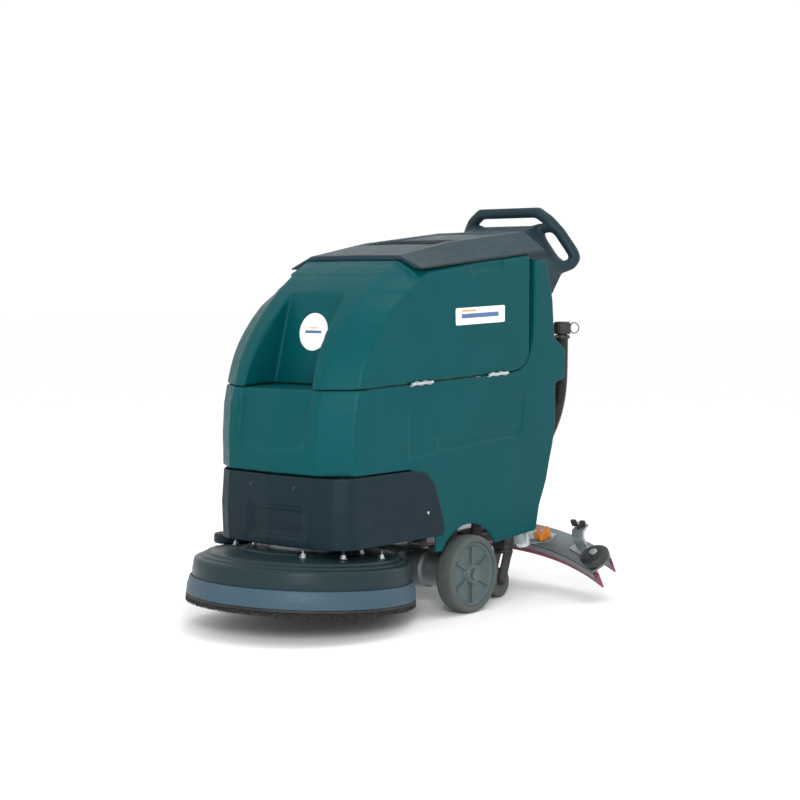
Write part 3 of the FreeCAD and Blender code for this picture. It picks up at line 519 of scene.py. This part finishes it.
def soft_profile(prof, r=1.5, n=3):
    """rounds the corners of a closed outline"""
    out = []
    m = len(prof)
    for i in range(m):
        p0, p1, p2 = (np.array(prof[(i + k) % m], float) for k in (-1, 0, 1))
        if p1[0] < 1e-6:
            out.append(tuple(p1))
            continue
        d0, d1 = p0 - p1, p2 - p1
        l0, l1 = np.linalg.norm(d0), np.linalg.norm(d1)
        q = min(r, l0 * 0.45, l1 * 0.45)
        a, b = p1 + d0 / l0 * q, p1 + d1 / l1 * q
        for s in range(n + 1):
            t = s / n
            v = (1 - t) ** 2 * a + 2 * t * (1 - t) * p1 + t * t * b
            out.append((max(v[0], 0.0), v[1]))
    return out


def revolve(name, prof, mat, segs=96, centre=(0, 0, 0), axis="z", r=1.2, matrix=TO_ROW, wob=None, n=3):
    bm = bmesh.new()
    bm_revolve(bm, soft_profile(prof, r, n) if r > 0 else prof, segs, centre, axis, wob)
    return from_bm(name, bm, mat, matrix, angle=50)


def joined(name, objs):
    bm = bmesh.new()
    mats = []
    for o in objs:
        me = o.data
        idx = []
        for mt in me.materials:
            if mt not in mats:
                mats.append(mt)
            idx.append(mats.index(mt))
        n0 = len(bm.faces)
        bm.from_mesh(me)
        bm.faces.ensure_lookup_table()
        for f in bm.faces[n0:]:
            f.material_index = idx[f.material_index] if f.material_index < len(idx) else 0
    me = bpy.data.meshes.new(name)
    bm.to_mesh(me)
    bm.free()
    for mt in mats:
        me.materials.append(mt)
    for o in objs:
        d = o.data
        bpy.data.objects.remove(o)
        if d.users == 0:
            bpy.data.meshes.remove(d)
    o = bpy.data.objects.new(name, me)
    bpy.context.scene.collection.objects.link(o)
    return o


def screw(name, x, y, z, r, nrm, matrix=TO_ROW, mat="zinc", cross=True, h=None):
    """domed screw head with a recess, its axis along nrm"""
    h = h or r * 0.45
    bm = bmesh.new()
    prof = [(0, -0.6), (r * 0.96, -0.6), (r, 0), (r * 0.93, h * 0.55), (r * 0.62, h * 0.92), (r * 0.38, h), (r * 0.34, h * 0.45), (0, h * 0.42)]
    bm_revolve(bm, prof, 24)
    q = Vector((0, 0, 1)).rotation_difference(Vector(nrm)).to_matrix().to_4x4()
    bm.transform(Matrix.Translation((x, y, z)) @ q)
    return from_bm(name, bm, mat, matrix, angle=50)


def hexnut(name, x, y, z, rad, h, matrix, mat="zinc"):
    bm = bmesh.new()
    pts = [(x + rad * math.cos(math.pi / 3 * k), y + rad * math.sin(math.pi / 3 * k)) for k in range(6)]
    bm_prism(bm, pts, "z", z, z + h)
    bmesh.ops.bevel(bm, geom=list(bm.edges), offset=rad * 0.09, segments=2, affect="EDGES")
    return from_bm(name, bm, mat, matrix, angle=35)


# ------------------------------------------------------------------ body form (same tables as the frame's)
FRONT = [(212, -494), (300, -498), (386, -490), (470, -490), (540, -484), (590, -470),
         (640, -456), (684, -434), (735, -398), (786, -354), (830, -308), (867, -262),
         (885, -228), (905, -183), (990, 20)]
OUTER = [(212, -436), (300, -440), (386, -436), (470, -437), (540, -432), (590, -421),
         (640, -407), (684, -388), (735, -350), (786, -300), (815, -264), (849, -196),
         (870, -150), (990, 60)]


def lerp(tab, z):
    return float(np.interp(z, [a for a, _ in tab], [b for _, b in tab]))


def front_y(x, z):
    return lerp(FRONT, z) - 8.0 * (1 - min(1.0, abs(x) / 147.0))


def cover_y(x, z):
    return lerp(FRONT, z) - 8 - 8.0 * (1 - min(1.0, abs(x) / 147.0))


def smooth_shift(tab, sigma):
    zs = np.arange(150.0, 1060.0, 2.0)
    k = np.exp(-0.5 * (np.arange(-60, 61) * 2.0 / sigma) ** 2)
    k /= k.sum()
    raw = np.interp(zs, [a for a, _ in tab], [b for _, b in tab])
    pad = np.concatenate([np.full(60, raw[0]), raw, np.full(60, raw[-1])])
    return zs, np.convolve(pad, k, "valid") - raw


def round_front(o, z0, z1, sigma=26.0):
    """turns the front's straight runs into one continuous curve"""
    me = o.data
    co = np.zeros(len(me.vertices) * 3)
    me.vertices.foreach_get("co", co)
    co = co.reshape(-1, 3)
    x, y, z = co[:, 0] * 1000, co[:, 1] * 1000 - SHIFT, co[:, 2] * 1000
    zs, da = smooth_shift(FRONT, sigma)
    _, db = smooth_shift(OUTER, sigma)
    A, B = np.interp(z, zs, da), np.interp(z, zs, db)
    fy = np.interp(z, [a for a, _ in FRONT], [b for _, b in FRONT])
    oy = np.interp(z, [a for a, _ in OUTER], [b for _, b in OUTER])
    t = np.clip((np.abs(x) - 147.0) / 78.0, 0, 1)
    face = fy * (1 - t) + oy * t
    w = np.clip((face + 90 - y) / 60.0, 0, 1)
    w = w * np.clip((z - z0) / 15.0, 0, 1) * np.clip((z1 - z) / 20.0, 0, 1)
    co[:, 1] += (A * (1 - t) + B * t) * w / 1000.0
    me.vertices.foreach_set("co", co.ravel())
    me.update()


# recovery tank: rounded shell from the frame's form
rec = cad_copy("recovery_tank", "recovery_shell", "green")
# finger hold under the lid's edge
grip = prism("grip_tool", [(4, 876), (12, 868), (134, 881), (142, 889), (142, 906), (4, 902)], "x", 219.5 + 1.5, 260)
rec = boolean(rec, grip)
# solid edge under the lid's front
for z0, z1 in ((836, 867), (867, 885), (885, 896)):
    for xa, xb in ((-146, 0.5), (-0.5, 146)):
        rec = add_in(rec, prism("front_edge", [(xa, z0 - 0.5), (xb, z0 - 0.5), (xb, z1 + 0.5), (xa, z1 + 0.5)], "y",
                                lambda p: front_y(p[0], p[1]) + 1.2, lambda p: front_y(p[0], p[1]) + 12.5))
rec = add_in(rec, prism("shoulder", [(-206, 846), (-211, 867), (-150, 899), (150, 899), (211, 867), (206, 846), (150, 880), (-150, 880)], "y", -205, -191.8))
rec = voxel(rec, 3.0, 16, 0.5, 0.4)
round_front(rec, 600, 880)
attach(rec, "recovery")
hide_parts("recovery_tank")

# lower tank: shallow panel in the front, long shallow panel on the sides
low = cad_copy("lower_tank", "lower_shell", "green")
for q in (-1, 1):
    pts = [(0, 604), (q * 121, 604), (q * 118, 482), (q * 112, 462), (q * 98, 449), (0, 437)]
    t = prism("front_panel_tool", pts, "y", -700, lambda p: front_y(p[0], p[1]) + 4.6)
    low = boolean(low, t)
    side = [(-240, 412), (-160, 418), (100, 433), (206, 438), (224, 446), (231, 462), (234, 592), (-244, 578)]

    def dip(p, q=q):
        return q * (225.0 - 3.6 * (585.0 - p[1]) / 150.0)
    t = prism("side_panel_tool", side, "x", dip, q * 262)
    low = boolean(low, t)
low = voxel(low, 3.0, 11, 0.5, 0.4)
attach(low, "chassis")
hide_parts("lower_tank")

# front cover
cov = cad_copy("front_cover", "front_cover_shell", "slate")
# backing behind the framed panel, then the frame itself
backs = [prism("cover_back_a", [(-90, 215), (0.5, 215), (0.5, 335), (-90, 335)], "y", lambda p: cover_y(p[0], p[1]) + 2, lambda p: cover_y(p[0], p[1]) + 12),
         prism("cover_back_b", [(-0.5, 215), (146, 215), (146, 335), (-0.5, 335)], "y", lambda p: cover_y(p[0], p[1]) + 2, lambda p: cover_y(p[0], p[1]) + 12)]


def rrect(x0, x1, z0, z1, r, lo=None, hi=None):
    pts = []
    for cx, cz, a0 in ((x1 - r, z1 - r, 0), (x0 + r, z1 - r, 90), (x0 + r, z0 + r, 180), (x1 - r, z0 + r, 270)):
        for k in range(5):
            a = math.radians(a0 + 22.5 * k)
            pts.append((cx + r * math.cos(a), cz + r * math.sin(a)))
    return pts


def clipx(pts, x, keep_right):
    out = []
    for i, p in enumerate(pts):
        q = pts[(i + 1) % len(pts)]
        pi, qi = (p[0] >= x) == keep_right, (q[0] >= x) == keep_right
        if pi:
            out.append(p)
        if pi != qi:
            t = (x - p[0]) / (q[0] - p[0])
            out.append((x, p[1] + t * (q[1] - p[1])))
    return out


for (x0, x1, z0, z1, r, d0) in ((-64, 128, 233, 314, 14, 3.2), (-52, 116, 245, 302, 8, 7.6)):
    outline = rrect(x0, x1, z0, z1, r)
    for side in (True, False):
        for i in range(3):
            t = prism("cover_panel_tool", clipx(outline, 0.0, side), "y", -720, lambda p: cover_y(p[0], p[1]) + d0)
            if i == 0:
                cov = boolean(cov, t)
            else:
                backs[i - 1] = boolean(backs[i - 1], t)
# long narrow slots pressed into both sides
for q in (1, -1):
    t = prism("cover_slot_tool", [(-396, 277), (-388, 270), (-240, 276), (-226, 284), (-232, 291), (-388, 286)], "x", q * 229.2, q * 260)
    cov = boolean(cov, t)
for bk in backs:
    cov = add_in(cov, bk)
cov = voxel(cov, 2.5, 7, 0.5, 0.5)
for v in cov.data.vertices:
    v.co.x += 0.024 * min(1.0, max(0.0, (-v.co.x - 0.10) / 0.11)) * min(1.0, max(0.0, (-300 - (v.co.y * 1000 - SHIFT)) / 80))
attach(cov, "chassis")
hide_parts("front_cover")

lid = cad_copy("tank_lid", "lid_shell", "lid")
t = prism("lid_tray_tool", [(-118, -20), (118, -20), (126, -8), (126, 296), (118, 308), (-118, 308), (-126, 296), (-126, -8)], "z",
          lambda p: float(np.interp(p[1], [-190, 20, 335], [912, 950, 984])) - 2.6, 1100)
lid = boolean(lid, t)
lid = voxel(lid, 2.5, 6, 0.5, 0.5)
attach(lid, "lid")
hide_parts("tank_lid")

hand = cad_copy("handle_housing", "handle_shell", "handle")
hand = voxel(hand, 2.5, 4, 0.5)
vg = hand.vertex_groups.new(name="loop")
for v in hand.data.vertices:
    yy, zz = v.co.y * 1000 - SHIFT, v.co.z * 1000
    wgt = min(1.0, max(0.0, (zz - 866) / 22.0)) * min(1.0, max(0.0, (yy - 452) / 10.0))
    if abs(v.co.x) < 0.088 and zz < 1018:
        wgt = 0.0
    if wgt > 0:
        vg.add([v.index], wgt, "REPLACE")
dm = hand.modifiers.new("d", "DISPLACE")
dm.strength, dm.mid_level, dm.vertex_group = 0.0058, 0.0, "loop"
sm = hand.modifiers.new("s", "SMOOTH")
sm.factor, sm.iterations, sm.vertex_group = 0.5, 110, "loop"
dc = hand.modifiers.new("k", "DECIMATE")
dc.ratio = 0.5
apply_mods(hand)
hand.vertex_groups.clear()
for v in hand.data.vertices:
    v.co.z = min(v.co.z, 1.0537)
    v.co.y = min(v.co.y, 0.5993)
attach(hand, "chassis")
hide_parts("handle_housing")

# ------------------------------------------------------------------ details
def hit(o, x, y, z, d):
    """surface point of o met from (x, y, z) along d, in mm"""
    ok, p, nrm, _ = o.ray_cast(row(x, y, z), Vector(d))
    if not ok:
        raise RuntimeError("no surface at %s" % ((x, y, z),))
    return Vector((p.x * 1000, p.y * 1000 - SHIFT, p.z * 1000)), nrm


def side_x(o, y, z, q=1):
    return hit(o, q * 300, y, z, (-q, 0, 0))[0].x


def disc(name, rad, h, mat, loc, nrm, r=0.6, segs=72):
    bm = bmesh.new()
    bm_revolve(bm, soft_profile([(0, -1.2), (rad, -1.2), (rad, h), (0, h)], r, 3), segs)
    q = Vector((0, 0, 1)).rotation_difference(Vector(nrm)).to_matrix().to_4x4()
    bm.transform(Matrix.Translation(loc) @ q)
    return from_bm(name, bm, mat, TO_ROW, angle=50)


# round badge in the hollow: plain field and two bands
bp, bn = hit(rec, 0, -700, 723, (0, 1, 0))
bn = Vector((0, -0.988, 0.156))
place(disc("badge_field", 47, 1.4, "white", bp, bn), "recovery_tank", False)
u, v = Vector((1, 0, 0)), bn.cross(Vector((1, 0, 0)))
v = v if v.z > 0 else -v
FR = Matrix.Identity(4)
FR.col[0].xyz, FR.col[1].xyz, FR.col[2].xyz, FR.col[3].xyz = u, v, u.cross(v), bp
badge = TO_ROW @ FR
top = 1.4 if u.cross(v).dot(bn) > 0 else -1.4
band = slab("badge_band", -27, 27, -3.5, 3.5, -0.2, 0.3, "blue", 0.2, badge @ Matrix.Translation((0, 0, top)))
dash = slab("badge_dash", -14, 14, 8.5, 11.5, -0.2, 0.3, "warm", 0.2, badge @ Matrix.Translation((0, 0, top)))
place(joined("badge_print", [band, dash]), "recovery_tank", False)


# plates on both sides
def plate(name, pts, q, h0, h1, mat):
    n = len(pts)
    fine = []
    for i, p in enumerate(pts):
        w = pts[(i + 1) % n]
        m = max(1, int(math.dist(p, w) / 12))
        fine += [(p[0] + (w[0] - p[0]) * k / m, p[1] + (w[1] - p[1]) * k / m) for k in range(m)]
    return prism(name, fine, "x", lambda p: side_x(rec, p[0], p[1], q) + q * h0, lambda p: side_x(rec, p[0], p[1], q) + q * h1, mat)


def rquad(c, r):
    out = []
    m = len(c)
    for i in range(m):
        p0, p1, p2 = (Vector(c[(i + k) % m]) for k in (-1, 0, 1))
        a, b = p1 + (p0 - p1).normalized() * r, p1 + (p2 - p1).normalized() * r
        out += [tuple((1 - t) ** 2 * a + 2 * t * (1 - t) * p1 + t * t * b) for t in (0, 0.25, 0.5, 0.75, 1)]
    return out


for q, sd in ((1, "left"), (-1, "right")):
    place(plate("side_label_" + sd, rquad([(-58, 780), (147, 787), (147, 743.5), (-57, 737)], 5), q, -1.0, 0.9, "white"), "recovery_tank", False)
    p1 = plate("side_label_a", rquad([(-34, 765.5), (120, 770.5), (120, 759), (-34, 754)], 3), q, 0.6, 1.15, "blue")
    p2 = plate("side_label_b", rquad([(-34, 775), (26, 777), (26, 772.5), (-34, 770.5)], 1.5), q, 0.6, 1.15, "warm")
    place(joined("side_label_print_" + sd, [p1, p2]), "recovery_tank", False)


# hinges: slim rolled knuckles with narrow leaves
def split(y):
    return 588 + 0.034 * (y + 470)


def bar_y(name, x, y0, y1, z0, z1, rad, mat, segs=24):
    ln = math.hypot(y1 - y0, z1 - z0)
    bm = bmesh.new()
    bm_revolve(bm, soft_profile([(0, 0), (rad, 0), (rad, ln), (0, ln)], 0.5, 2), segs)
    q = Vector((0, 0, 1)).rotation_difference(Vector((0, y1 - y0, z1 - z0)).normalized()).to_matrix().to_4x4()
    bm.transform(Matrix.Translation((x, y0, z0)) @ q)
    return from_bm(name, bm, mat, TO_ROW, angle=45)


lows, ups, pins = [], [], []
for y0, ln in ((-238, 84.0), (72, 84.0)):
    pins.append(bar_y("pin", 230, y0 - 0.4, y0 + ln + 0.4, split(y0) + 0.75, split(y0 + ln) + 0.75, 2.0, "zinc"))
    for k in range(5):
        a, b = y0 + k * ln / 5 + 0.3, y0 + (k + 1) * ln / 5 - 0.3
        kn = bar_y("knuckle", 230, a, b, split(a) + 0.75, split(b) + 0.75, 4.0, "zinc")
        za = split(a) + 0.75
        sg = -1 if k % 2 == 0 else 1
        lf = slab("leaf", 225.2, 227.2, a + 0.2, b - 0.2, min(za + sg * 0.9, za + sg * 5.5), max(za + sg * 0.9, za + sg * 5.5), "zinc", 0.4)
        (lows if sg < 0 else ups).extend([kn, lf])
place(joined("hinge_lower_parts", lows), "lower_hinge_leaves")
place(joined("hinge_upper_parts", ups), "upper_hinge_leaves")
place(joined("hinge_pin_parts", pins), "hinge_pins")

# dark rubber seal lying in the joint between the two tanks: partly a real seal, partly painted shade standing in for
# the dark gap
seal_and_gap_shade = prism("tank_seal_gap_shade", [(-212, -412), (-136, -462), (-124, -462), (-124, -352), (124, -352), (124, -462), (136, -462), (212, -412), (221, -380), (221, 176), (214, 182), (-214, 182), (-221, 176), (-221, -380)], "z",
             lambda p: split(p[1]) - 1.5, lambda p: split(p[1]) + 1.2, "rubber")
seal_and_gap_shade = boolean(seal_and_gap_shade, prism("seal_tool", [(-206, -340), (206, -340), (206, 168), (-206, 168)], "z", 500, 700))
place(seal_and_gap_shade, "lower_tank", False)

# deck: skirt, stepped cover, nuts, bumper wheel
place(revolve("splash_skirt_ring", [(270, 22), (284, 20.5), (283, 40), (277, 63), (272, 64), (272, 40)], "skirt", 192, r=2.0, matrix=DECK), "splash_skirt")
dk = revolve("deck_shell_ring", [(271.6, 44), (271.0, 80), (268, 104), (264, 109), (254, 111), (250, 116), (240, 118), (236, 124), (222, 126),
                                 (150, 131), (148, 135), (92, 136), (62, 136), (62, 130), (146, 126), (216, 120), (246, 106), (262, 98), (265, 60), (265, 44)],
             "deck", 192, r=2.6, matrix=DECK)
pk = revolve("pocket_tool", [(0, 118.5), (54, 118.5), (54, 160), (0, 160)], "deck", 64, (-243, -4, 0), r=1.0, matrix=DECK)
dk = boolean(dk, pk)
sharpen(dk, 40)
sh_pts = []
for k in range(96):
    a = 2 * math.pi * k / 96
    x, y = -243 + 54 * math.cos(a), -4 + 54 * math.sin(a)
    rr = math.hypot(x, y)
    if rr > 262:
        x, y = x * 262 / rr, y * 262 / rr
    sh_pts.append((x, y))
shelf = prism("shelf", sh_pts, "z", 112.5, 118.5, "deck", DECK)
boss = revolve("boss", [(0, 112.5), (20, 112.5), (20, 122.5), (0, 122.5)], "deck", 48, (-243, -4, 0), r=1.0, matrix=DECK)
lugs = [slab("lug", q * 100 - 4, q * 100 + 4, 38, 82, 122, 182, "deck", 1.5, DECK) for q in (1, -1)]
place(joined("deck_form", [dk, shelf, boss] + lugs), "deck_cover")

parts = []
for x, y, z in [(182, -53, 131), (133, 67, 132), (205, 60, 128), (-112, -58, 134), (-182, -53, 129), (-133, 67, 132), (-205, 60, 128), (112, -118, 131)]:
    parts.append(revolve("washer", [(0, z - 1.5), (9, z - 1.5), (9, z + 1.2), (0, z + 1.2)], "zinc", 32, (x, y, 0), r=0.5, matrix=DECK))
    parts.append(hexnut("nut", x, y, z + 1.2, 6.8, 6.6, DECK))
    th = [(0, z + 2)] + [(3.5 - 0.35 * (k % 2), z + 7 + k * 0.6) for k in range(20)] + [(2.6, z + 19), (0, z + 19)]
    parts.append(revolve("thread", th, "zinc", 20, (x, y, 0), r=0, matrix=DECK))
parts.append(revolve("post", [(0, 121), (7.6, 121), (7.6, 152), (0, 152)], "zinc", 32, (-243, -4, 0), r=0.5, matrix=DECK))
parts.append(revolve("washer", [(0, 151.2), (14, 151.2), (14, 152.8), (0, 152.8)], "zinc", 40, (-243, -4, 0), r=0.4, matrix=DECK))
parts.append(hexnut("nut", -243, -4, 152.8, 9.5, 5, DECK))
place(joined("deck_hardware", parts), "deck_studs")
place(revolve("bumper_wheel_form", [(8.3, 123.2), (16, 123.2), (17, 125), (38, 125), (40, 123.2), (47, 124), (50, 129), (50, 144), (47, 149), (40, 149.8), (38, 147.6),
                                    (17, 147.6), (16, 149.8), (8.3, 149.8)], "slate", 96, (-243, -4, 0), r=1.2, matrix=DECK), "deck_roller")


def strands(name, roots, mat, matrix):
    """roots: (x, y, z top, z tip, lean x, lean y, thickness)"""
    vs, fs = [], []
    for x, y, z1, z0, lx, ly, t in roots:
        n = len(vs)
        a0 = rng.uniform(0, 2.1)
        for zz, f, k in ((z1, 0.0, 1.0), (0.5 * (z0 + z1), 0.35, 0.95), (z0, 1.0, 0.6)):
            for j in range(3):
                a = a0 + j * 2.0944
                vs.append((x + lx * f + t * k * math.cos(a), y + ly * f + t * k * math.sin(a), zz))
        for lv in (0, 3):
            for j in range(3):
                a, b = n + lv + j, n + lv + (j + 1) % 3
                fs.append((a, b, b + 3, a + 3))
        fs.append((n + 2, n + 1, n))
        fs.append((n + 6, n + 7, n + 8))
    me = bpy.data.meshes.new(name)
    me.from_pydata(vs, [], fs)
    for f in me.polygons:
        f.use_smooth = True
    return link(name, me, mat, matrix)


roots = []
for row_r, cnt in ((270, 700), (274.5, 760), (279, 820), (282.6, 900)):
    for k in range(cnt):
        a = 2 * math.pi * (k + rng.uniform(-0.4, 0.4)) / cnt
        r = row_r + rng.uniform(-1.2, 1.2)
        o = rng.uniform(-1.5, 1.6)
        sw = rng.uniform(-2.0, 2.0)
        roots.append((r * math.cos(a), r * math.sin(a), 16, rng.uniform(0.8, 3.2), o * math.cos(a) - sw * math.sin(a), o * math.sin(a) + sw * math.cos(a), 0.85))
fr = strands("skirt_strands", roots, "bristle", DECK)
hold = revolve("strand_holder", [(267, 14), (285, 14), (284.4, 20.2), (268, 20.2)], "rubber", 192, r=1.2, matrix=DECK)
place(joined("skirt_brush_form", [hold, fr]), "skirt_brush")
roots = []
for rr in (119, 159, 199, 236):
    for dr in (-5.5, 4.0):
        cnt = int(2 * math.pi * (rr + dr) / 15)
        for k in range(cnt):
            a = 2 * math.pi * (k + (0.5 if dr > 0 else 0)) / cnt
            for j in range(7):
                b = 2 * math.pi * j / 7
                d0 = 0.0 if j == 0 else 2.2
                x, y = (rr + dr) * math.cos(a) + d0 * math.cos(b), (rr + dr) * math.sin(a) + d0 * math.sin(b)
                roots.append((x, y, 37, rng.uniform(1.2, 3.0), d0 * 0.7 * math.cos(b) + rng.uniform(-0.8, 0.8), d0 * 0.7 * math.sin(b) + rng.uniform(-0.8, 0.8), 0.8))
place(strands("brush_tufts", roots, "bristle", DECK), "brush_bristles")

# drain hose: corrugated, along the spline's own points
ROUTE = [(180, 473, 690), (180, 473, 612), (177, 472, 540), (170, 458, 474), (160, 430, 416), (152, 404, 372)]
cu = bpy.data.curves.new("hose_route", "CURVE")
cu.dimensions = "3D"
sp = cu.splines.new("NURBS")
sp.points.add(len(ROUTE) - 1)
for p, c in zip(sp.points, ROUTE):
    p.co = (*row(*c), 1.0)
sp.order_u = 3
sp.use_endpoint_u = True
sp.resolution_u = 24
ro = bpy.data.objects.new("hose_route", cu)
bpy.context.scene.collection.objects.link(ro)
bpy.context.view_layer.update()
rm = bpy.data.meshes.new_from_object(ro)
path = [v.co.copy() for v in rm.vertices]
bpy.data.objects.remove(ro)
bpy.data.curves.remove(cu)
bpy.data.meshes.remove(rm)


def resample(path, step):
    ds = [0.0]
    for a, b in zip(path, path[1:]):
        ds.append(ds[-1] + (b - a).length)
    out = []
    n = int(ds[-1] / step)
    for k in range(n + 1):
        t = ds[-1] * k / n
        i = min(len(ds) - 2, max(0, int(np.searchsorted(ds, t)) - 1))
        f = (t - ds[i]) / max(1e-9, ds[i + 1] - ds[i])
        out.append(path[i].lerp(path[i + 1], f))
    return out, ds[-1]


def sweep(name, pts, rad, segs, mat):
    """closed tube of radius rad(i) along the points"""
    bm = bmesh.new()
    rings = []
    prev = None
    for i, p in enumerate(pts):
        t = (pts[min(i + 1, len(pts) - 1)] - pts[max(i - 1, 0)]).normalized()
        if prev is None:
            prev = t.orthogonal().normalized()
        prev = (prev - t * prev.dot(t)).normalized()
        w = t.cross(prev)
        r = rad(i)
        rings.append([bm.verts.new(p + prev * (r * math.cos(2 * math.pi * j / segs)) + w * (r * math.sin(2 * math.pi * j / segs))) for j in range(segs)])
    for A, B in zip(rings, rings[1:]):
        for j in range(segs):
            bm.faces.new((A[j], A[(j + 1) % segs], B[(j + 1) % segs], B[j]))
    bm.faces.new(rings[0][::-1])
    bm.faces.new(rings[-1])
    return from_bm(name, bm, mat)


hp, hl = resample(path, 0.0008)
step = hl / (len(hp) - 1)
place(sweep("drain_hose_form", hp, lambda i: 0.0178 - 0.0019 * (0.5 - 0.5 * math.cos(2 * math.pi * i * step / 0.0062)) ** 0.8, 32, "rubber"), "drain_hose")

# cap with gripping ribs and its ring
cap = revolve("cap", [(14.2, 703), (23, 703), (24, 706), (24, 732), (20, 737), (0, 738), (0, 718), (14.2, 718)], "black", 160, (180, 473, 0), r=1.2,
              wob=lambda a, k, r, t: -0.9 * max(0.0, math.cos(24 * a)) if r > 22.5 and 704 < t < 733 else 0.0)
pts = []
for k in range(49):
    a = 2 * math.pi * k / 48
    ex = 14.5 if math.cos(a) > 0 else 9.0
    rr = Vector((0.763, 0.647, 0)) * (32 + ex * math.cos(a)) + Vector((0, 0, 1)) * (-1 + 14.5 * math.sin(a))
    pts.append(row(180 + rr.x, 473 + rr.y, 721 + rr.z))
place(joined("drain_cap_form", [cap, sweep("cap_ring", pts, lambda i: 0.0014, 12, "black")]), "drain_cap")

# screws on the front cover, bolt in its rear edge
scr = []
for x, z in ((-54, 357), (87.5, 355)):
    p, nn = hit(cov, x, -700, z, (0, 1, 0))
    scr.append(screw("screw", p.x, p.y, p.z, 4.4, nn, mat="black"))
for q in (1, -1):
    p, nn = hit(cov, q * 300, -172, 275, (-q, 0, 0))
    scr.append(screw("screw", p.x, p.y, p.z, 4.0, nn))
place(joined("cover_screws", scr), "front_cover", False)

# dark rubber strip under the lid's side edges: partly the real black lip, partly painted shade standing in for the
# shadow in the gap under the lid
lip_and_shade_strips = []
for q in (1, -1):
    def edge(p):
        return float(np.interp(p, [-190, 335], [881, 932]))
    lip_and_shade_strips.append(prism("lip_shade_strip", [(-186, edge(-186) - 3.4), (330, edge(330) - 3.4), (330, edge(330) + 1), (-186, edge(-186) + 1)], "x", q * 217.5, q * 221.5, "rubber"))
place(joined("lid_lip_and_gap_shade", lip_and_shade_strips), "tank_lid", False)

# the frame's other plain pieces with rounded edges
SLOTS = dict(
    left_star_knob=("orange", "orange_plastic", 3.0), right_star_knob=("orange", "orange_plastic", 3.0), left_wing_knob=("black", "black_plastic", 1.6),
    right_wing_knob=("black", "black_plastic", 1.6), left_squeegee_roller=("black", "black_rubber", 2.0), right_squeegee_roller=("black", "black_rubber", 2.0),
    squeegee_brackets=("alu", "cast_aluminium", 1.2), squeegee_body=("squeegee", "squeegee_metal", 1.0), transaxle_housing=("alu", "cast_aluminium", 2.0),
    left_wheel_hub=("hub", "hub_plastic", 0.9), right_wheel_hub=("hub", "hub_plastic", 0.9), left_tyre=("tyre", "grey_tyre", 2.5), right_tyre=("tyre", "grey_tyre", 2.5),
    brush_motor=("silver", "motor_metal", 2.0), squeegee_arm=("frame", "frame_steel", 0.8), deck_lift_arm=("frame", "frame_steel", 1.0),
    left_caster_fork=("frame", "frame_steel", 0.8), right_caster_fork=("frame", "frame_steel", 0.8), control_panel=("black", "black_plastic", 1.0),
    drive_trigger=("black", "black_plastic", 1.5), deck_pedal=("frame", "frame_steel", 1.0), squeegee_lever=("frame", "frame_steel", 1.0),
    hose_clip=("black", "black_plastic", 0.8), batteries=("battery", "battery_case", 2.0))
for n, (k, sl, wd) in SLOTS.items():
    place(bevel(cad_copy(n, n + "_form", k), wd, 2 if wd < 1.5 else 3), n)

# ------------------------------------------------------------------ camera, light, floor
def stage():
    bm = bmesh.new()
    bmesh.ops.create_grid(bm, x_segments=2, y_segments=2, size=30.0)
    m, nt, p, co = new_mat("pale_floor")
    a = noise(nt, co, 3.0, 3.0)
    nt.links.new(mix(nt, span(nt, a, 0.0, 1.0), (0.965, 0.965, 0.965, 1), (0.985, 0.985, 0.985, 1)), p.inputs["Base Color"])
    p.inputs["Roughness"].default_value = 0.9
    p.inputs["Specular IOR Level"].default_value = 0.1
    M["floor"] = m
    o = from_bm("floor", bm, "floor")
    o.location.z = -0.0005


stage()
cam = bpy.data.cameras.new("camera")
cam.sensor_width = 36.0
cam.lens = 76.5
cam.clip_start, cam.clip_end = 0.1, 60
camo = bpy.data.objects.new("camera", cam)
bpy.context.scene.collection.objects.link(camo)
camo.location = (2.8857, -3.33787, 0.8410)
az, el = math.radians(40.3), math.radians(3.9)
d = Vector((-math.sin(az) * math.cos(el), math.cos(az) * math.cos(el), -math.sin(el)))
camo.rotation_mode = "QUATERNION"
camo.rotation_quaternion = d.to_track_quat("-Z", "Y")
bpy.context.scene.camera = camo

bpy.context.scene.view_settings.view_transform = "Standard"
w = bpy.data.worlds.new("studio")
w.use_nodes = True
w.node_tree.nodes["Background"].inputs[0].default_value = (1.0, 1.0, 1.0, 1.0)
w.node_tree.nodes["Background"].inputs[1].default_value = 1.02
bpy.context.scene.world = w


def area(name, loc, target, size, power):
    l = bpy.data.lights.new(name, "AREA")
    l.shape = "RECTANGLE"
    l.size, l.size_y = size
    l.energy = power
    o = bpy.data.objects.new(name, l)
    bpy.context.scene.collection.objects.link(o)
    o.location = loc
    o.rotation_mode = "QUATERNION"
    o.rotation_quaternion = (Vector(target) - Vector(loc)).to_track_quat("-Z", "Y")


area("key", (2.15, -2.45, 1.55), (0, 0, 0.55), (0.9, 0.9), 56)
area("fill", (-3.2, -2.0, 2.0), (0, 0, 0.5), (2.0, 2.0), 10)
area("top", (0.2, 0.4, 3.6), (0, 0, 0.5), (2.4, 2.4), 30)
area("back", (1.6, 3.4, 2.2), (0, 0, 0.5), (2.0, 2.0), 12)
